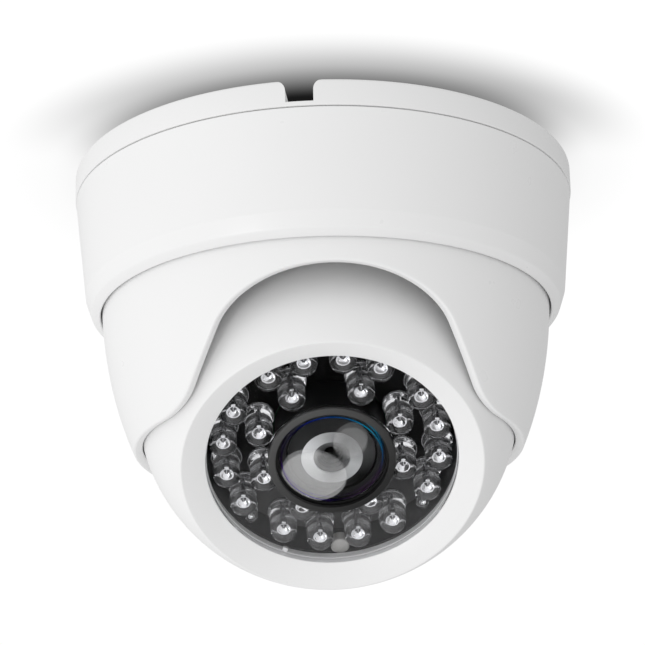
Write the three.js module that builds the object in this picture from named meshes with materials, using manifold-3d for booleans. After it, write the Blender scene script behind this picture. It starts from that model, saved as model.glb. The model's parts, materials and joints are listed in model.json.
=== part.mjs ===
// Ceiling dome camera with a turning eyeball: base plate, twist-on cover ring, panning shroud with an
// arched cut-out, and a ball that tilts on a steel hoop and rolls about its own line of sight.
//
// Millimetres, +Z up. The origin is the centre of the ceiling mounting face, so the camera hangs into -Z.
// The camera looks towards -Y and down. Everything but the base's cable channel is symmetric about X = 0.
import * as THREE from 'three';
import { mergeVertices } from 'three/addons/utils/BufferGeometryUtils.js';
import Module from 'manifold-3d';

const wasm = await Module();
wasm.setup();

// ---------------------------------------------------------------- driving dimensions

// Clearances: seated pieces, turning pieces, and the cut that reaches past a face
const SEAT_GAP = 0.3;
const TURN_GAP = 0.4;
const PAST = 1;

// Base plate, against the ceiling: a little wider than the cover's top
const BASE_OVERHANG = 0.15;
const PLATE_T = 2.6;
const BASE_EDGE = 0.5;
const SKIRT_DEPTH = 5;
const SKIRT_WALL = 2.1;
const CABLE_HOLE_R = 9;
const CHANNEL_W = 5;
const CHANNEL_DEPTH = 4.2;
const CHANNEL_WALL = 1.2;
const CHANNEL_AZIMUTH = -7;
const CHANNEL_SETBACK = 0.5;
const CHANNEL_END_GAP = 0.65;
const FIXING_COUNT = 3;
const FIXING_CIRCLE_R = 29;
const FIXING_HOLE_R = 2.2;
const FIXING_HEAD_R = 4.2;
const FIXING_HEAD_DEPTH = 1;
const COLLAR_WALL = 2;
const COLLAR_OVERLAP = 1.14;

// Bayonet between the base collar and the cover ring
const BAYONET_COUNT = 4;
const BAYONET_ARC = 24;
const BAYONET_T = 1.9;
const BAYONET_Z = -10;
const BAYONET_REACH = 2.1;
const HOOK_T = 1.4;
const HOOK_CLEARANCE = 0.6;

// Cover ring: from a mouth round the shroud it rounds outwards and up, then flares to its top
const COVER_MOUTH_GAP = 0.35;
const COVER_MOUTH_DROP = 4.2;
const COVER_ROUND_W = 2.8;
const COVER_ROUND_H = 5.2;
const COVER_FLARE = 1.85;
const COVER_WALL = 2.2;
const COVER_STEP_T = 3.9;
const COVER_TAPER_H = 4;
const FLANGE_CLEARANCE = 0.5;

// Ball and its aim
const BALL_R = 35.44;
const BALL_TOP_DROP = 8.36;
const BALL_WALL = 1.94;
const AIM_BELOW_LEVEL = 52.6;
const SEAM_H = -6;
const FACE_CLOCK = 5;

// Shroud: an ellipse turned about Z round the ball, open below, with a front arch.
// Its heights count from the ball's centre, and its top ring's from its widest place.
const SHROUD_ROOM = 3.91;
const RIM_TUCK = 0.583;
const SHROUD_WIDEST_RISE = 19.8;
const SHROUD_WALL = 1.7;
const SHROUD_RING_H = 2.5;
const FLANGE_REACH = 1.5;
const FLANGE_UNDERCUT = 0.06;
const RIM_DROP = 9.7;
const RIM_H = 1.8;
const RIM_SECTION = 1.9;
const ARCH_APEX_RISE = 11.4;
const ARCH_HALF_W = 21.4;
const ARCH_RISE = 12.5;
const ARCH_SPLAY = 25.6;
const ARCH_FOOT_R = 7;
const STOP_HALF_W = 1;
const STOP_REACH = 1.8;
const STOP_LENGTH = 3;
const STOP_ROOT = 0.5;

// Friction ring between the collar and the shroud's flange
const FRICTION_RING_T = 1.7;
const FRICTION_RING_W = 1.2;

// Tilt hoop, its pins and their guides
const HOOP_GAP = 0.31;
const HOOP_T = 0.6;
const HOOP_HALF_W = 3.5;
const HOOP_END = 4.5;
const HOOP_PAD_RIM = 1.6;
const PIN_R = 1.5;
const PIN_LENGTH = 2.6;
const PIN_INSET = 0.1;
const GUIDE_HALF_W = 4.2;
const GUIDE_TOP_DROP = 2;
const GUIDE_BELOW_PIN = 3.2;
const GUIDE_GAP = 1.05;
const KEEPER_GAP = 0.75;
const KEEPER_RISE = 1.5;

// Roll bush at the back of the ball, with the cable sleeve in it
const BUSH_R = 6.9;
const BUSH_WALL = 2.3;
const BUSH_FLANGE_W = 1.7;
const BUSH_FLANGE_T = 0.75;
const BUSH_PLAY = 0.6;
const SLEEVE_BORE_R = 2.6;
const SLEEVE_LENGTH = 7.5;
const SLEEVE_LIP = 0.9;

// Ball shell joint
const SPIGOT_T = 1.5;
const SPIGOT_H = 3;
const SPIGOT_PLAY = 0.4;
const SPIGOT_TAPER_H = 2;
const POST_COUNT = 3;
const POST_SETBACK = 4.8;
const POST_R = 2.8;
const POST_WALL = 0.6;
const POST_TOP_H = 15;
const POST_GAP = 0.5;
const WEB_HALF_T = 1;
const WEB_REACH = 6;
const SCREW_R = 1.3;
const SCREW_HEAD_R = 2.2;
const SCREW_HEAD_T = 1.6;
const SCREW_LENGTH = 18;
const SCREW_HEAD_H = -14.4;
const SCREW_POINT_H = 1;
const SCREW_BORE_SPARE = 1.5;

// Bezel, a shallow dish round the window
const BEZEL_INNER_R = 22.85;
const BEZEL_W = 4.45;
const BEZEL_DISH = 2.4;
const BEZEL_LIP_DEPTH = 3.2;
const BEZEL_EASE_R = 0.5;
const BEZEL_EASE_H = 0.25;
const BEZEL_LIP_SLOPE = 1.2;

// Window and the white seal under it
const WINDOW_PLAY = 0.35;
const WINDOW_RECESS = 0.1;
const WINDOW_T = 0.8;
const GASKET_W = 0.6;
const GASKET_T = 0.8;

// Lamp chassis, lamp board and lamps
const BOARD_T = 1.6;
const BOARD_PLAY = 0.25;
const BOARD_HOLE_PLAY = 0.5;
const CHASSIS_WALL = 2.4;
const CHASSIS_LEDGE = 2.4;
const CHASSIS_LEDGE_T = 1.1;
const LAMP_R = 2.5;
const LAMP_FLANGE_W = 0.4;
const LAMP_FLANGE_T = 1;
const LAMP_LENGTH = 8.6;
const LAMP_ROOM = 0.4;
const OUTER_PITCH = 20.5;
const OUTER_GROUPS = 4;
const OUTER_PER_GROUP = 4;
const INNER_LAMP_GAP = 0.6;
const INNER_ANGLES = [27, 68.5];
const PHOTO_CELL_R = 1.75;
const PHOTO_CELL_T = 2.3;
const PHOTO_CELL_GAP = 0.093;
const PHOTO_CELL_ANGLE = 180;
const SENSOR_R = 1.2;
const SENSOR_LENGTH = 6.2;
const SENSOR_EDGE_GAP = 0.1;
const SENSOR_ANGLE = 132;

// Lens, flush with the bezel's inner edge: depths count back from its face
const LENS_HEAD_R = 11.55;
const LENS_RING_T = 0.8;
const LENS_RING_W = 1.7;
const LENS_CHAMFER = 0.3;
const LENS_HEAD_T = 0.8;
const LENS_NECK_INSET = 1.35;
const LENS_NECK_DEPTH = 11.3;
const LENS_NECK_SLOPE = 0.6;
const LENS_THREAD_R = 6;
const LENS_DEPTH = 21.7;
const LENS_REAR_BORE_R = 4.8;
const LENS_FLOOR_DEPTH = 9.7;
const GLASS_INSET = 0.6;
const GLASS_SEAT_W = 1.05;
const GLASS_EDGE = 1.3;
const GLASS_EDGE_DEPTH = 2.3;
const GLASS_CROWN = 1.45;
const GLASS_HOLLOW = 2;
const GLASS_RIM_W = 1.2;
const BAFFLE_RING_INSET = 2.5;
const BAFFLE_RING_W = 2.2;
const PUPIL_T = 0.7;
const BAFFLE_RING_DEPTH = 1.55;
const BAFFLE_CONE_H = 1.25;
const REAR_GLASS_T = 3;
const REAR_GLASS_DEPTH = 15.2;
const REAR_GLASS_HOLLOW = 0.4;
const REAR_GLASS_CROWN = 0.9;

// Sensor board and lens holder, also counted back from the lens's face
const CIRCUIT_DEPTH = 27.5;
const CIRCUIT_T = 1.6;
const CIRCUIT_SIDE = 32;
const HOLDER_SIDE = 16;
const HOLDER_FOOT_T = 4;
const HOLDER_TOWER_INSET = 0.2;
const HOLDER_TOP_DEPTH = 14.2;
const CHIP_SIZE = [6.2, 5.2, 0.8];
const SPACER_R = 2;
const SPACER_EDGE_GAP = 0.115;
const PLUG_SIZE = [10, 4.5, 4];
const PLUG_SETBACK = 5.5;

// How finely round pieces are divided
const RIM_SEGMENTS = 48;
const BALL_SEGMENTS = 36;
const PART_SEGMENTS = 16;
const LAMP_SEGMENTS = 8;

// ---------------------------------------------------------------- materials

function finish(color, roughness, metalness = 0, opacity = 1) {
  return new THREE.MeshStandardMaterial({ color, roughness, metalness, opacity, transparent: opacity < 1 });
}

const WHITE_GLOSS = finish(0xf0f0f2, 0.22);
const WHITE_SATIN = finish(0xe6e6e6, 0.5);
const BLACK_PLASTIC = finish(0x17181a, 0.55);
const LENS_BLACK = finish(0x3c3d3f, 0.4);
const BAFFLE_GREY = finish(0x9a9a9a, 0.5);
const RUBBER_BLACK = finish(0x101010, 0.85);
const STEEL = finish(0xb9bcc0, 0.35, 1);
const BOARD_BLACK = finish(0x0c0d0e, 0.5);
const BOARD_GREEN = finish(0x12502c, 0.5);
const CLEAR_EPOXY = finish(0xdfe3e6, 0.08, 0, 0.45);
const CLEAR_WINDOW = finish(0xeef2f4, 0.05, 0, 0.2);
const LENS_GLASS = finish(0x27313f, 0.03, 0, 0.5);
const CELL_CREAM = finish(0xd6d3ca, 0.6);

// ---------------------------------------------------------------- geometry helpers

const radians = THREE.MathUtils.degToRad;

/** One closed body from a closed geometry: shared corners merged, slivers dropped, faces turned outwards. */
function closedBody(geometry) {
  const bare = geometry.clone();
  bare.deleteAttribute('normal');
  bare.deleteAttribute('uv');
  const merged = mergeVertices(bare, 1e-4);
  const corners = [];
  const index = merged.index.array;
  for (let i = 0; i < index.length; i += 3) {
    const [a, b, c] = [index[i], index[i + 1], index[i + 2]];
    if (a !== b && b !== c && c !== a) corners.push(a, b, c);
  }
  const position = merged.attributes.position;
  if (signedVolume(position, corners) < 0) {
    for (let i = 0; i < corners.length; i += 3) {
      [corners[i + 1], corners[i + 2]] = [corners[i + 2], corners[i + 1]];
    }
  }
  const body = new THREE.BufferGeometry();
  body.setAttribute('position', position.clone());
  body.setIndex(corners);
  return body;
}

function signedVolume(position, corners) {
  const [a, b, c] = [new THREE.Vector3(), new THREE.Vector3(), new THREE.Vector3()];
  let volume = 0;
  for (let i = 0; i < corners.length; i += 3) {
    a.fromBufferAttribute(position, corners[i]);
    b.fromBufferAttribute(position, corners[i + 1]);
    c.fromBufferAttribute(position, corners[i + 2]);
    volume += a.dot(b.cross(c)) / 6;
  }
  return volume;
}

function toSolid(geometry) {
  const body = closedBody(geometry);
  return new wasm.Manifold(new wasm.Mesh({
    numProp: 3,
    vertProperties: new Float32Array(body.attributes.position.array),
    triVerts: new Uint32Array(body.index.array),
  }));
}

function toGeometry(solid) {
  const mesh = solid.getMesh();
  const body = new THREE.BufferGeometry();
  body.setAttribute('position', new THREE.BufferAttribute(new Float32Array(mesh.vertProperties), 3));
  body.setIndex(Array.from(mesh.triVerts));
  return body;
}

/** Adds the joined geometries to the first one and then takes the cut ones away. */
function carve(geometry, { join = [], cut = [] }) {
  let solid = toSolid(geometry);
  for (const piece of join) solid = solid.add(toSolid(piece));
  for (const piece of cut) solid = solid.subtract(toSolid(piece));
  return toGeometry(solid);
}

/** A body turned about Z from (radius, height) corners; a profile that leaves the axis closes on itself. */
function turned(profile, segments) {
  const points = profile.map(([r, h]) => new THREE.Vector2(r, h));
  const onAxis = profile[0][0] === 0 && profile.at(-1)[0] === 0;
  if (!onAxis) points.push(points[0].clone());
  return closedBody(new THREE.LatheGeometry(points, segments).rotateX(Math.PI / 2));
}

function ring(innerR, outerR, low, high, segments = PART_SEGMENTS) {
  return turned([[innerR, low], [outerR, low], [outerR, high], [innerR, high]], segments);
}

function rod(radius, low, high, segments = PART_SEGMENTS) {
  return turned([[0, low], [radius, low], [radius, high], [0, high]], segments);
}

function block(low, high) {
  const size = high.map((value, i) => value - low[i]);
  const middle = high.map((value, i) => (value + low[i]) / 2);
  return new THREE.BoxGeometry(...size).translate(...middle);
}

/** Points of an arc or ellipse quarter, from one angle to another in degrees, both ends included. */
function arc(centre, radii, from, to, steps) {
  return Array.from({ length: steps + 1 }, (_, i) => {
    const angle = radians(from + ((to - from) * i) / steps);
    return [centre[0] + radii[0] * Math.cos(angle), centre[1] + radii[1] * Math.sin(angle)];
  });
}

/** A flat outline pushed along Z from low to high. */
function extruded(outline, low, high) {
  const shape = new THREE.Shape(outline.map(([x, y]) => new THREE.Vector2(x, y)));
  const depth = high - low;
  return new THREE.ExtrudeGeometry(shape, { depth, bevelEnabled: false }).translate(0, 0, low);
}

/** A stretch of a ring about Z, centred on an angle in degrees. */
function ringSector(innerR, outerR, low, high, centre, width, steps = 4) {
  const outer = arc([0, 0], [outerR, outerR], centre - width / 2, centre + width / 2, steps);
  const inner = arc([0, 0], [innerR, innerR], centre + width / 2, centre - width / 2, steps);
  return extruded([...outer, ...inner], low, high);
}

/** Angles evenly spread round a full turn, from a first angle in degrees. */
function spread(count, first = 0) {
  return Array.from({ length: count }, (_, i) => first + (360 * i) / count);
}

function mesh(name, geometry, material) {
  const piece = new THREE.Mesh(closedBody(geometry), material);
  piece.geometry.computeVertexNormals();
  piece.name = name;
  return piece;
}

// ---------------------------------------------------------------- shared outlines

const ballZ = -(BALL_TOP_DROP + BALL_R);
const hoopInnerR = BALL_R + HOOP_GAP;
const hoopOuterR = hoopInnerR + HOOP_T;
const shroudA = hoopOuterR + SHROUD_ROOM + SHROUD_WALL;
const shroudWidestZ = ballZ + SHROUD_WIDEST_RISE;
const shroudTopZ = shroudWidestZ + SHROUD_RING_H;
const shroudRingInnerR = shroudA - SHROUD_WALL;
const guideTopZ = shroudWidestZ - GUIDE_TOP_DROP;
const rimStartZ = ballZ - RIM_DROP;
const rimStartR = sphereH(hoopOuterR, RIM_DROP) - RIM_TUCK + SHROUD_WALL;
const shroudB = (shroudWidestZ - rimStartZ) / Math.sqrt(1 - (rimStartR / shroudA) ** 2);
const rimZ = rimStartZ - RIM_H;
const archApexZ = ballZ + ARCH_APEX_RISE;
const coverMouthZ = shroudWidestZ - COVER_MOUTH_DROP;
const coverMouthR = shroudR(coverMouthZ) + COVER_MOUTH_GAP;
const coverLowR = coverMouthR + COVER_ROUND_W;
const coverLowZ = coverMouthZ + COVER_ROUND_H;
const coverTopR = coverLowR + COVER_FLARE;
const baseR = coverTopR + BASE_OVERHANG;
const collarR = shroudRingInnerR + COLLAR_OVERLAP;
const frictionTopZ = shroudTopZ + SEAT_GAP + FRICTION_RING_T;
const collarLowZ = frictionTopZ + SEAT_GAP;
const pinStart = hoopInnerR + PIN_INSET;
const pinEnd = pinStart + PIN_LENGTH;
const bushBoreR = BUSH_R - BUSH_WALL;
const bushFlangeR = BUSH_R + BUSH_FLANGE_W;
const ballInnerR = BALL_R - BALL_WALL;
const postCircleR = ballInnerR - POST_SETBACK;
const bezelOuterR = BEZEL_INNER_R + BEZEL_W;
const bezelOuterH = sphereH(BALL_R, bezelOuterR);
const bezelInnerH = bezelOuterH - BEZEL_DISH;
const bezelLipH = bezelInnerH - BEZEL_LIP_DEPTH;
const windowR = BEZEL_INNER_R - WINDOW_PLAY;
const windowTopH = bezelInnerH - WINDOW_RECESS;
const windowBackH = windowTopH - WINDOW_T;
const boardR = BEZEL_INNER_R - BOARD_PLAY;
const boardFaceH = windowBackH - LAMP_ROOM - LAMP_LENGTH - SEAT_GAP;
const boardBackH = boardFaceH - BOARD_T;
const chassisR = boardR + SEAT_GAP;
const ledgeR = chassisR - CHASSIS_LEDGE;
const lensFaceH = bezelInnerH;
const lensNeckR = LENS_HEAD_R - LENS_NECK_INSET;
const lensFloorH = lensFaceH - LENS_FLOOR_DEPTH;
const ringBoreR = LENS_HEAD_R - LENS_RING_W;
const glassR = ringBoreR - GLASS_INSET;
const glassEdgeH = lensFaceH - GLASS_EDGE_DEPTH;
const lensBoreR = glassR - GLASS_SEAT_W;
const hollowR = glassR - GLASS_RIM_W;
const baffleRingR = hollowR - BAFFLE_RING_INSET;
const pupilR = baffleRingR - BAFFLE_RING_W;
const lampFlangeR = LAMP_R + LAMP_FLANGE_W;
const outerRingR = boardR - lampFlangeR;
const innerRingR = lensNeckR + lampFlangeR + INNER_LAMP_GAP;
const halfPitch = radians(OUTER_PITCH / 2);
const photoCellRingR = outerRingR * Math.cos(halfPitch)
  + sphereH(LAMP_R + PHOTO_CELL_R + PHOTO_CELL_GAP, outerRingR * Math.sin(halfPitch));
const sensorRingR = boardR - SENSOR_R - SENSOR_EDGE_GAP;
const circuitH = lensFaceH - CIRCUIT_DEPTH;
const holderTopH = lensFaceH - HOLDER_TOP_DEPTH;

/** Outer radius of the shroud at a height. */
function shroudR(z) {
  return shroudA * Math.sqrt(1 - ((z - shroudWidestZ) / shroudB) ** 2);
}

/** Height of a sphere about the ball's centre where it has a given radius. */
function sphereH(sphereR, r) {
  return Math.sqrt(sphereR ** 2 - r ** 2);
}

/** Points of a sphere's profile from one height to another, evenly spread in angle. */
function sphereArc(sphereR, fromH, toH, steps) {
  const start = THREE.MathUtils.radToDeg(Math.asin(fromH / sphereR));
  const end = THREE.MathUtils.radToDeg(Math.asin(toH / sphereR));
  return arc([0, 0], [sphereR, sphereR], start, end, steps);
}

// ---------------------------------------------------------------- base

function basePlate() {
  const underside = -PLATE_T;
  const skirtInnerR = baseR - SKIRT_WALL;
  const plate = turned([
    [CABLE_HOLE_R, 0], [baseR - BASE_EDGE, 0], [baseR, -BASE_EDGE],
    [baseR, -SKIRT_DEPTH], [skirtInnerR, -SKIRT_DEPTH], [skirtInnerR, underside],
    [collarR, underside], [collarR, collarLowZ], [collarR - COLLAR_WALL, collarLowZ],
    [collarR - COLLAR_WALL, underside], [CABLE_HOLE_R, underside],
  ], RIM_SEGMENTS);
  const lugs = spread(BAYONET_COUNT).map((angle) => ringSector(
    collarR - COLLAR_WALL / 2, collarR + BAYONET_REACH,
    BAYONET_Z - BAYONET_T, BAYONET_Z, angle, BAYONET_ARC));

  // The cable channel runs from the middle hole out through the skirt, open towards the ceiling.
  const along = radians(CHANNEL_AZIMUTH);
  const channelR = coverTopR - COVER_WALL - CHANNEL_END_GAP;
  const trough = block(
    [-CHANNEL_W / 2 - CHANNEL_WALL, -channelR, -CHANNEL_DEPTH - CHANNEL_WALL],
    [CHANNEL_W / 2 + CHANNEL_WALL, -CABLE_HOLE_R - CHANNEL_SETBACK, -PLATE_T / 2]).rotateZ(along);
  const channel = block(
    [-CHANNEL_W / 2, -baseR - PAST, -CHANNEL_DEPTH],
    [CHANNEL_W / 2, 0, PAST]).rotateZ(along);

  const stopOuterR = collarR - COLLAR_WALL / 2;
  const stopInnerR = shroudRingInnerR - TURN_GAP - STOP_REACH;
  const panStop = block(
    [-STOP_HALF_W, stopInnerR, shroudTopZ - STOP_LENGTH],
    [STOP_HALF_W, shroudRingInnerR - TURN_GAP, collarLowZ + STOP_LENGTH]);
  const stopRoot = block(
    [-STOP_HALF_W, stopInnerR, collarLowZ],
    [STOP_HALF_W, stopOuterR, collarLowZ + STOP_LENGTH]);

  const fixings = spread(FIXING_COUNT, 90).flatMap((angle) => {
    const x = FIXING_CIRCLE_R * Math.cos(radians(angle));
    const y = FIXING_CIRCLE_R * Math.sin(radians(angle));
    const hole = rod(FIXING_HOLE_R, underside - PAST, PAST);
    const head = rod(FIXING_HEAD_R, underside - PAST, underside + FIXING_HEAD_DEPTH);
    return [hole.translate(x, y, 0), head.translate(x, y, 0)];
  });
  return carve(plate, { join: [...lugs, trough, panStop, stopRoot], cut: [channel, ...fixings] });
}

function frictionRing() {
  const innerR = shroudRingInnerR + SEAT_GAP;
  const low = shroudTopZ + SEAT_GAP;
  return ring(innerR, innerR + FRICTION_RING_W, low, low + FRICTION_RING_T, BALL_SEGMENTS);
}

// ---------------------------------------------------------------- cover ring

function coverRing() {
  const top = -SKIRT_DEPTH - SEAT_GAP;
  const innerTopR = coverTopR - COVER_WALL;
  const stepZ = coverMouthZ + COVER_STEP_T;
  const stepR = shroudA + FLANGE_REACH + FLANGE_CLEARANCE;
  const rounding = arc(
    [coverMouthR, coverLowZ], [coverLowR - coverMouthR, coverLowZ - coverMouthZ], 0, -90, 4);
  const shell = turned([
    [innerTopR, top], [coverTopR, top], ...rounding,
    [coverMouthR, stepZ], [stepR, stepZ], [stepR, stepZ + COVER_TAPER_H],
  ], RIM_SEGMENTS);
  const hooks = spread(BAYONET_COUNT).map((angle) => ringSector(
    collarR + HOOK_CLEARANCE, innerTopR + COVER_WALL / 2,
    BAYONET_Z + TURN_GAP, BAYONET_Z + TURN_GAP + HOOK_T, angle, BAYONET_ARC));
  return carve(shell, { join: hooks });
}

// ---------------------------------------------------------------- shroud and ball guides

/** Right half of the arch's outline, from the apex down to the level rim: crown, splayed side, foot. */
function archHalf() {
  const splay = radians(ARCH_SPLAY);
  const crownEnd = Math.atan(ARCH_HALF_W / (ARCH_RISE * Math.tan(splay)));
  const steps = 6;
  const crown = Array.from({ length: steps + 1 }, (_, i) => {
    const angle = (crownEnd * i) / steps;
    return [ARCH_HALF_W * Math.sin(angle), archApexZ - ARCH_RISE * (1 - Math.cos(angle))];
  });
  const [x, z] = crown.at(-1);
  const cornerX = x + (z - rimZ) * Math.tan(splay);
  const footX = cornerX + ARCH_FOOT_R * Math.tan((Math.PI / 2 - splay) / 2);
  const foot = arc([footX, rimZ + ARCH_FOOT_R], [ARCH_FOOT_R, ARCH_FOOT_R], 180 + ARCH_SPLAY, 270, 4);
  return [...crown, ...foot];
}

function archCutter() {
  const half = archHalf();
  const farZ = rimZ - 2 * PAST;
  const right = [...half, [half.at(-1)[0], farZ]];
  const left = right.slice(1).reverse().map(([x, z]) => [-x, z]);
  return extruded([...right, ...left], 0, shroudA + 2 * PAST).rotateX(Math.PI / 2);
}

function shroud() {
  const flangeR = shroudA + FLANGE_REACH;
  const flangeLowZ = coverMouthZ + COVER_STEP_T + SEAT_GAP;
  const steps = 5;
  const heights = Array.from({ length: steps + 1 },
    (_, i) => coverMouthZ + ((rimStartZ - coverMouthZ) * i) / steps);
  const outer = heights.map((z) => [shroudR(z), z]);
  const inner = heights.map((z) => [shroudR(z) - SHROUD_WALL, z]).reverse();
  const rimR = rimStartR - RIM_SECTION / 2;
  const rim = arc([rimR, rimStartZ], [RIM_SECTION / 2, rimStartZ - rimZ], -20, -160, 3);
  const bowl = turned([
    [shroudRingInnerR, shroudTopZ], [flangeR, shroudTopZ], [flangeR, flangeLowZ],
    [shroudA - FLANGE_UNDERCUT, flangeLowZ], ...outer, ...rim, ...inner,
  ], RIM_SEGMENTS);

  // Guide rails down each cheek: the hoop's pins drop into the slots from above.
  const railLowZ = ballZ - GUIDE_BELOW_PIN;
  const railInnerR = hoopOuterR + GUIDE_GAP;
  const railBody = (side) => toGeometry(toSolid(block(
    [railInnerR, -GUIDE_HALF_W, railLowZ], [shroudA, GUIDE_HALF_W, guideTopZ])).intersect(toSolid(turned([
    [0, shroudTopZ], ...heights.map((z) => [shroudR(z) - SHROUD_WALL / 2, z]), [0, rimStartZ],
  ], RIM_SEGMENTS)))).rotateZ(side > 0 ? 0 : Math.PI);
  const slotHalfW = PIN_R + SEAT_GAP;
  const slotEnd = pinEnd + SEAT_GAP;
  const slot = (side) => carve(
    block([hoopInnerR, -slotHalfW, ballZ], [slotEnd, slotHalfW, shroudTopZ + PAST]), {
      join: [rod(slotHalfW, hoopInnerR, slotEnd).rotateY(Math.PI / 2).translate(0, 0, ballZ)],
    }).rotateZ(side > 0 ? 0 : Math.PI);
  const panStop = block(
    [-STOP_HALF_W, -shroudRingInnerR - STOP_ROOT, shroudTopZ - STOP_LENGTH],
    [STOP_HALF_W, -shroudRingInnerR + TURN_GAP + STOP_REACH, shroudTopZ - 2 * STOP_ROOT]);
  return carve(bowl, {
    join: [railBody(1), railBody(-1), panStop],
    cut: [slot(1), slot(-1), archCutter()],
  });
}

/** A bar that fills the guide slot above the pin and keeps it down. */
function pivotKeeper(side) {
  const low = ballZ + PIN_R + SEAT_GAP;
  const high = guideTopZ + KEEPER_RISE;
  return block([hoopOuterR + KEEPER_GAP, -PIN_R, low], [pinEnd, PIN_R, high]).rotateZ(side > 0 ? 0 : Math.PI);
}

// ---------------------------------------------------------------- tilt hoop, in the ball's own frame

/** A strip of steel bent round the back of the ball, with an eye at each side and one behind. */
function tiltHoop() {
  const outer = arc([0, 0], [hoopOuterR, hoopOuterR], HOOP_END, -180 - HOOP_END, 28);
  const inner = arc([0, 0], [hoopInnerR, hoopInnerR], -180 - HOOP_END, HOOP_END, 28);
  const strip = extruded([...outer, ...inner], -HOOP_HALF_W, HOOP_HALF_W).rotateX(Math.PI / 2);
  const eyeR = BUSH_R + SEAT_GAP;
  const padR = bushFlangeR + HOOP_PAD_RIM;
  const pad = turned([
    [0, -hoopOuterR], ...sphereArc(hoopOuterR, -hoopOuterR, -sphereH(hoopOuterR, padR), 4).slice(1),
    ...sphereArc(hoopInnerR, -sphereH(hoopInnerR, padR), -hoopInnerR, 4).slice(0, -1), [0, -hoopInnerR],
  ], PART_SEGMENTS);
  const pinHole = rod(PIN_R + SEAT_GAP, -hoopOuterR - PAST, hoopOuterR + PAST).rotateY(Math.PI / 2);
  const eye = rod(eyeR, -hoopOuterR - PAST, -hoopInnerR + 2 * PAST);
  return carve(strip, { join: [pad], cut: [pinHole, eye] });
}

function tiltPin(side) {
  return rod(PIN_R, pinStart, pinEnd, PART_SEGMENTS).rotateY((side * Math.PI) / 2);
}

/** A hollow rivet through the hoop and the back of the ball; the ball rolls on it. */
function rollBush() {
  const backH = -hoopOuterR - SEAT_GAP;
  const frontH = -sphereH(ballInnerR, bushFlangeR) + BUSH_PLAY;
  return turned([
    [bushBoreR, backH - BUSH_FLANGE_T], [bushFlangeR, backH - BUSH_FLANGE_T], [bushFlangeR, backH],
    [BUSH_R, backH], [BUSH_R, frontH], [bushFlangeR, frontH], [bushFlangeR, frontH + BUSH_FLANGE_T],
    [bushBoreR, frontH + BUSH_FLANGE_T],
  ], PART_SEGMENTS);
}

function cableSleeve() {
  const backH = -hoopOuterR - SEAT_GAP - BUSH_FLANGE_T - SLEEVE_LIP;
  return ring(SLEEVE_BORE_R, bushBoreR - SEAT_GAP, backH, backH + SLEEVE_LENGTH);
}

// ---------------------------------------------------------------- ball shells, in the ball's own frame

/** Centres of the screw posts, as x and y in the face plane. */
function postPlaces() {
  return spread(POST_COUNT, 90).map((angle) => [
    postCircleR * Math.cos(radians(angle)), postCircleR * Math.sin(radians(angle))]);
}

function ballFrontShell() {
  const lipR = chassisR + CHASSIS_WALL + TURN_GAP;
  const lipInnerH = sphereH(ballInnerR, lipR + BEZEL_LIP_SLOPE);
  const postLowH = SEAM_H + SPIGOT_H + POST_GAP;
  const shell = turned([
    [BEZEL_INNER_R, bezelLipH], [BEZEL_INNER_R, bezelInnerH],
    [bezelOuterR - BEZEL_EASE_R, bezelOuterH - BEZEL_EASE_H],
    ...sphereArc(BALL_R, bezelOuterH, SEAM_H, 6),
    ...sphereArc(ballInnerR, SEAM_H, lipInnerH, 4), [lipR, bezelLipH],
  ], BALL_SEGMENTS);
  const midWallR = ballInnerR + BALL_WALL / 4;
  const limit = toSolid(turned([
    [0, SEAM_H], ...sphereArc(midWallR, SEAM_H, bezelLipH + PAST, 3), [0, bezelLipH + PAST],
  ], BALL_SEGMENTS));
  const posts = postPlaces().map(([x, y]) => toGeometry(
    toSolid(rod(POST_R, postLowH, POST_TOP_H).translate(x, y, 0)).intersect(limit)));
  const webs = postPlaces().map(([x, y]) => {
    const web = block([ballInnerR - WEB_REACH, -WEB_HALF_T, postLowH], [BALL_R, WEB_HALF_T, POST_TOP_H]);
    return toGeometry(toSolid(web.rotateZ(Math.atan2(y, x))).intersect(limit));
  });
  const boreTopH = SCREW_HEAD_H + SCREW_LENGTH + SCREW_BORE_SPARE;
  const bores = postPlaces().map(([x, y]) => rod(SCREW_R + SEAT_GAP, SEAM_H - PAST, boreTopH)
    .translate(x, y, 0));
  return carve(shell, { join: [...posts, ...webs], cut: bores });
}

function ballRearShell() {
  const topH = SEAM_H - SEAT_GAP;
  const holeR = BUSH_R + SEAT_GAP;
  const spigotR = sphereH(ballInnerR, SEAM_H) - SPIGOT_PLAY;
  const outsideH = -BALL_R - PAST;
  const shell = turned([
    ...sphereArc(BALL_R, topH, -sphereH(BALL_R, holeR), 7),
    ...sphereArc(ballInnerR, -sphereH(ballInnerR, holeR), topH - SPIGOT_TAPER_H, 5),
    [spigotR - SPIGOT_T, topH], [spigotR - SPIGOT_T, topH + SPIGOT_H], [spigotR, topH + SPIGOT_H],
    [spigotR, topH],
  ], BALL_SEGMENTS);
  const midWallR = ballInnerR + BALL_WALL / 4;
  const limit = toSolid(turned([
    ...sphereArc(midWallR, -midWallR, topH, 6), [0, topH],
  ], BALL_SEGMENTS));
  const posts = postPlaces().map(([x, y]) => toGeometry(
    toSolid(rod(POST_R + POST_WALL, outsideH, topH - PAST).translate(x, y, 0)).intersect(limit)));
  const holes = postPlaces().flatMap(([x, y]) => [
    rod(SCREW_R + SEAT_GAP, outsideH, topH + SPIGOT_H + PAST).translate(x, y, 0),
    rod(SCREW_HEAD_R + SEAT_GAP, outsideH, SCREW_HEAD_H + SEAT_GAP).translate(x, y, 0),
  ]);
  const postRelief = postPlaces().map(([x, y]) => rod(
    POST_R + POST_WALL, topH - POST_WALL, topH + SPIGOT_H + PAST).translate(x, y, 0));
  return carve(shell, { join: posts, cut: [...postRelief, ...holes] });
}

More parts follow.
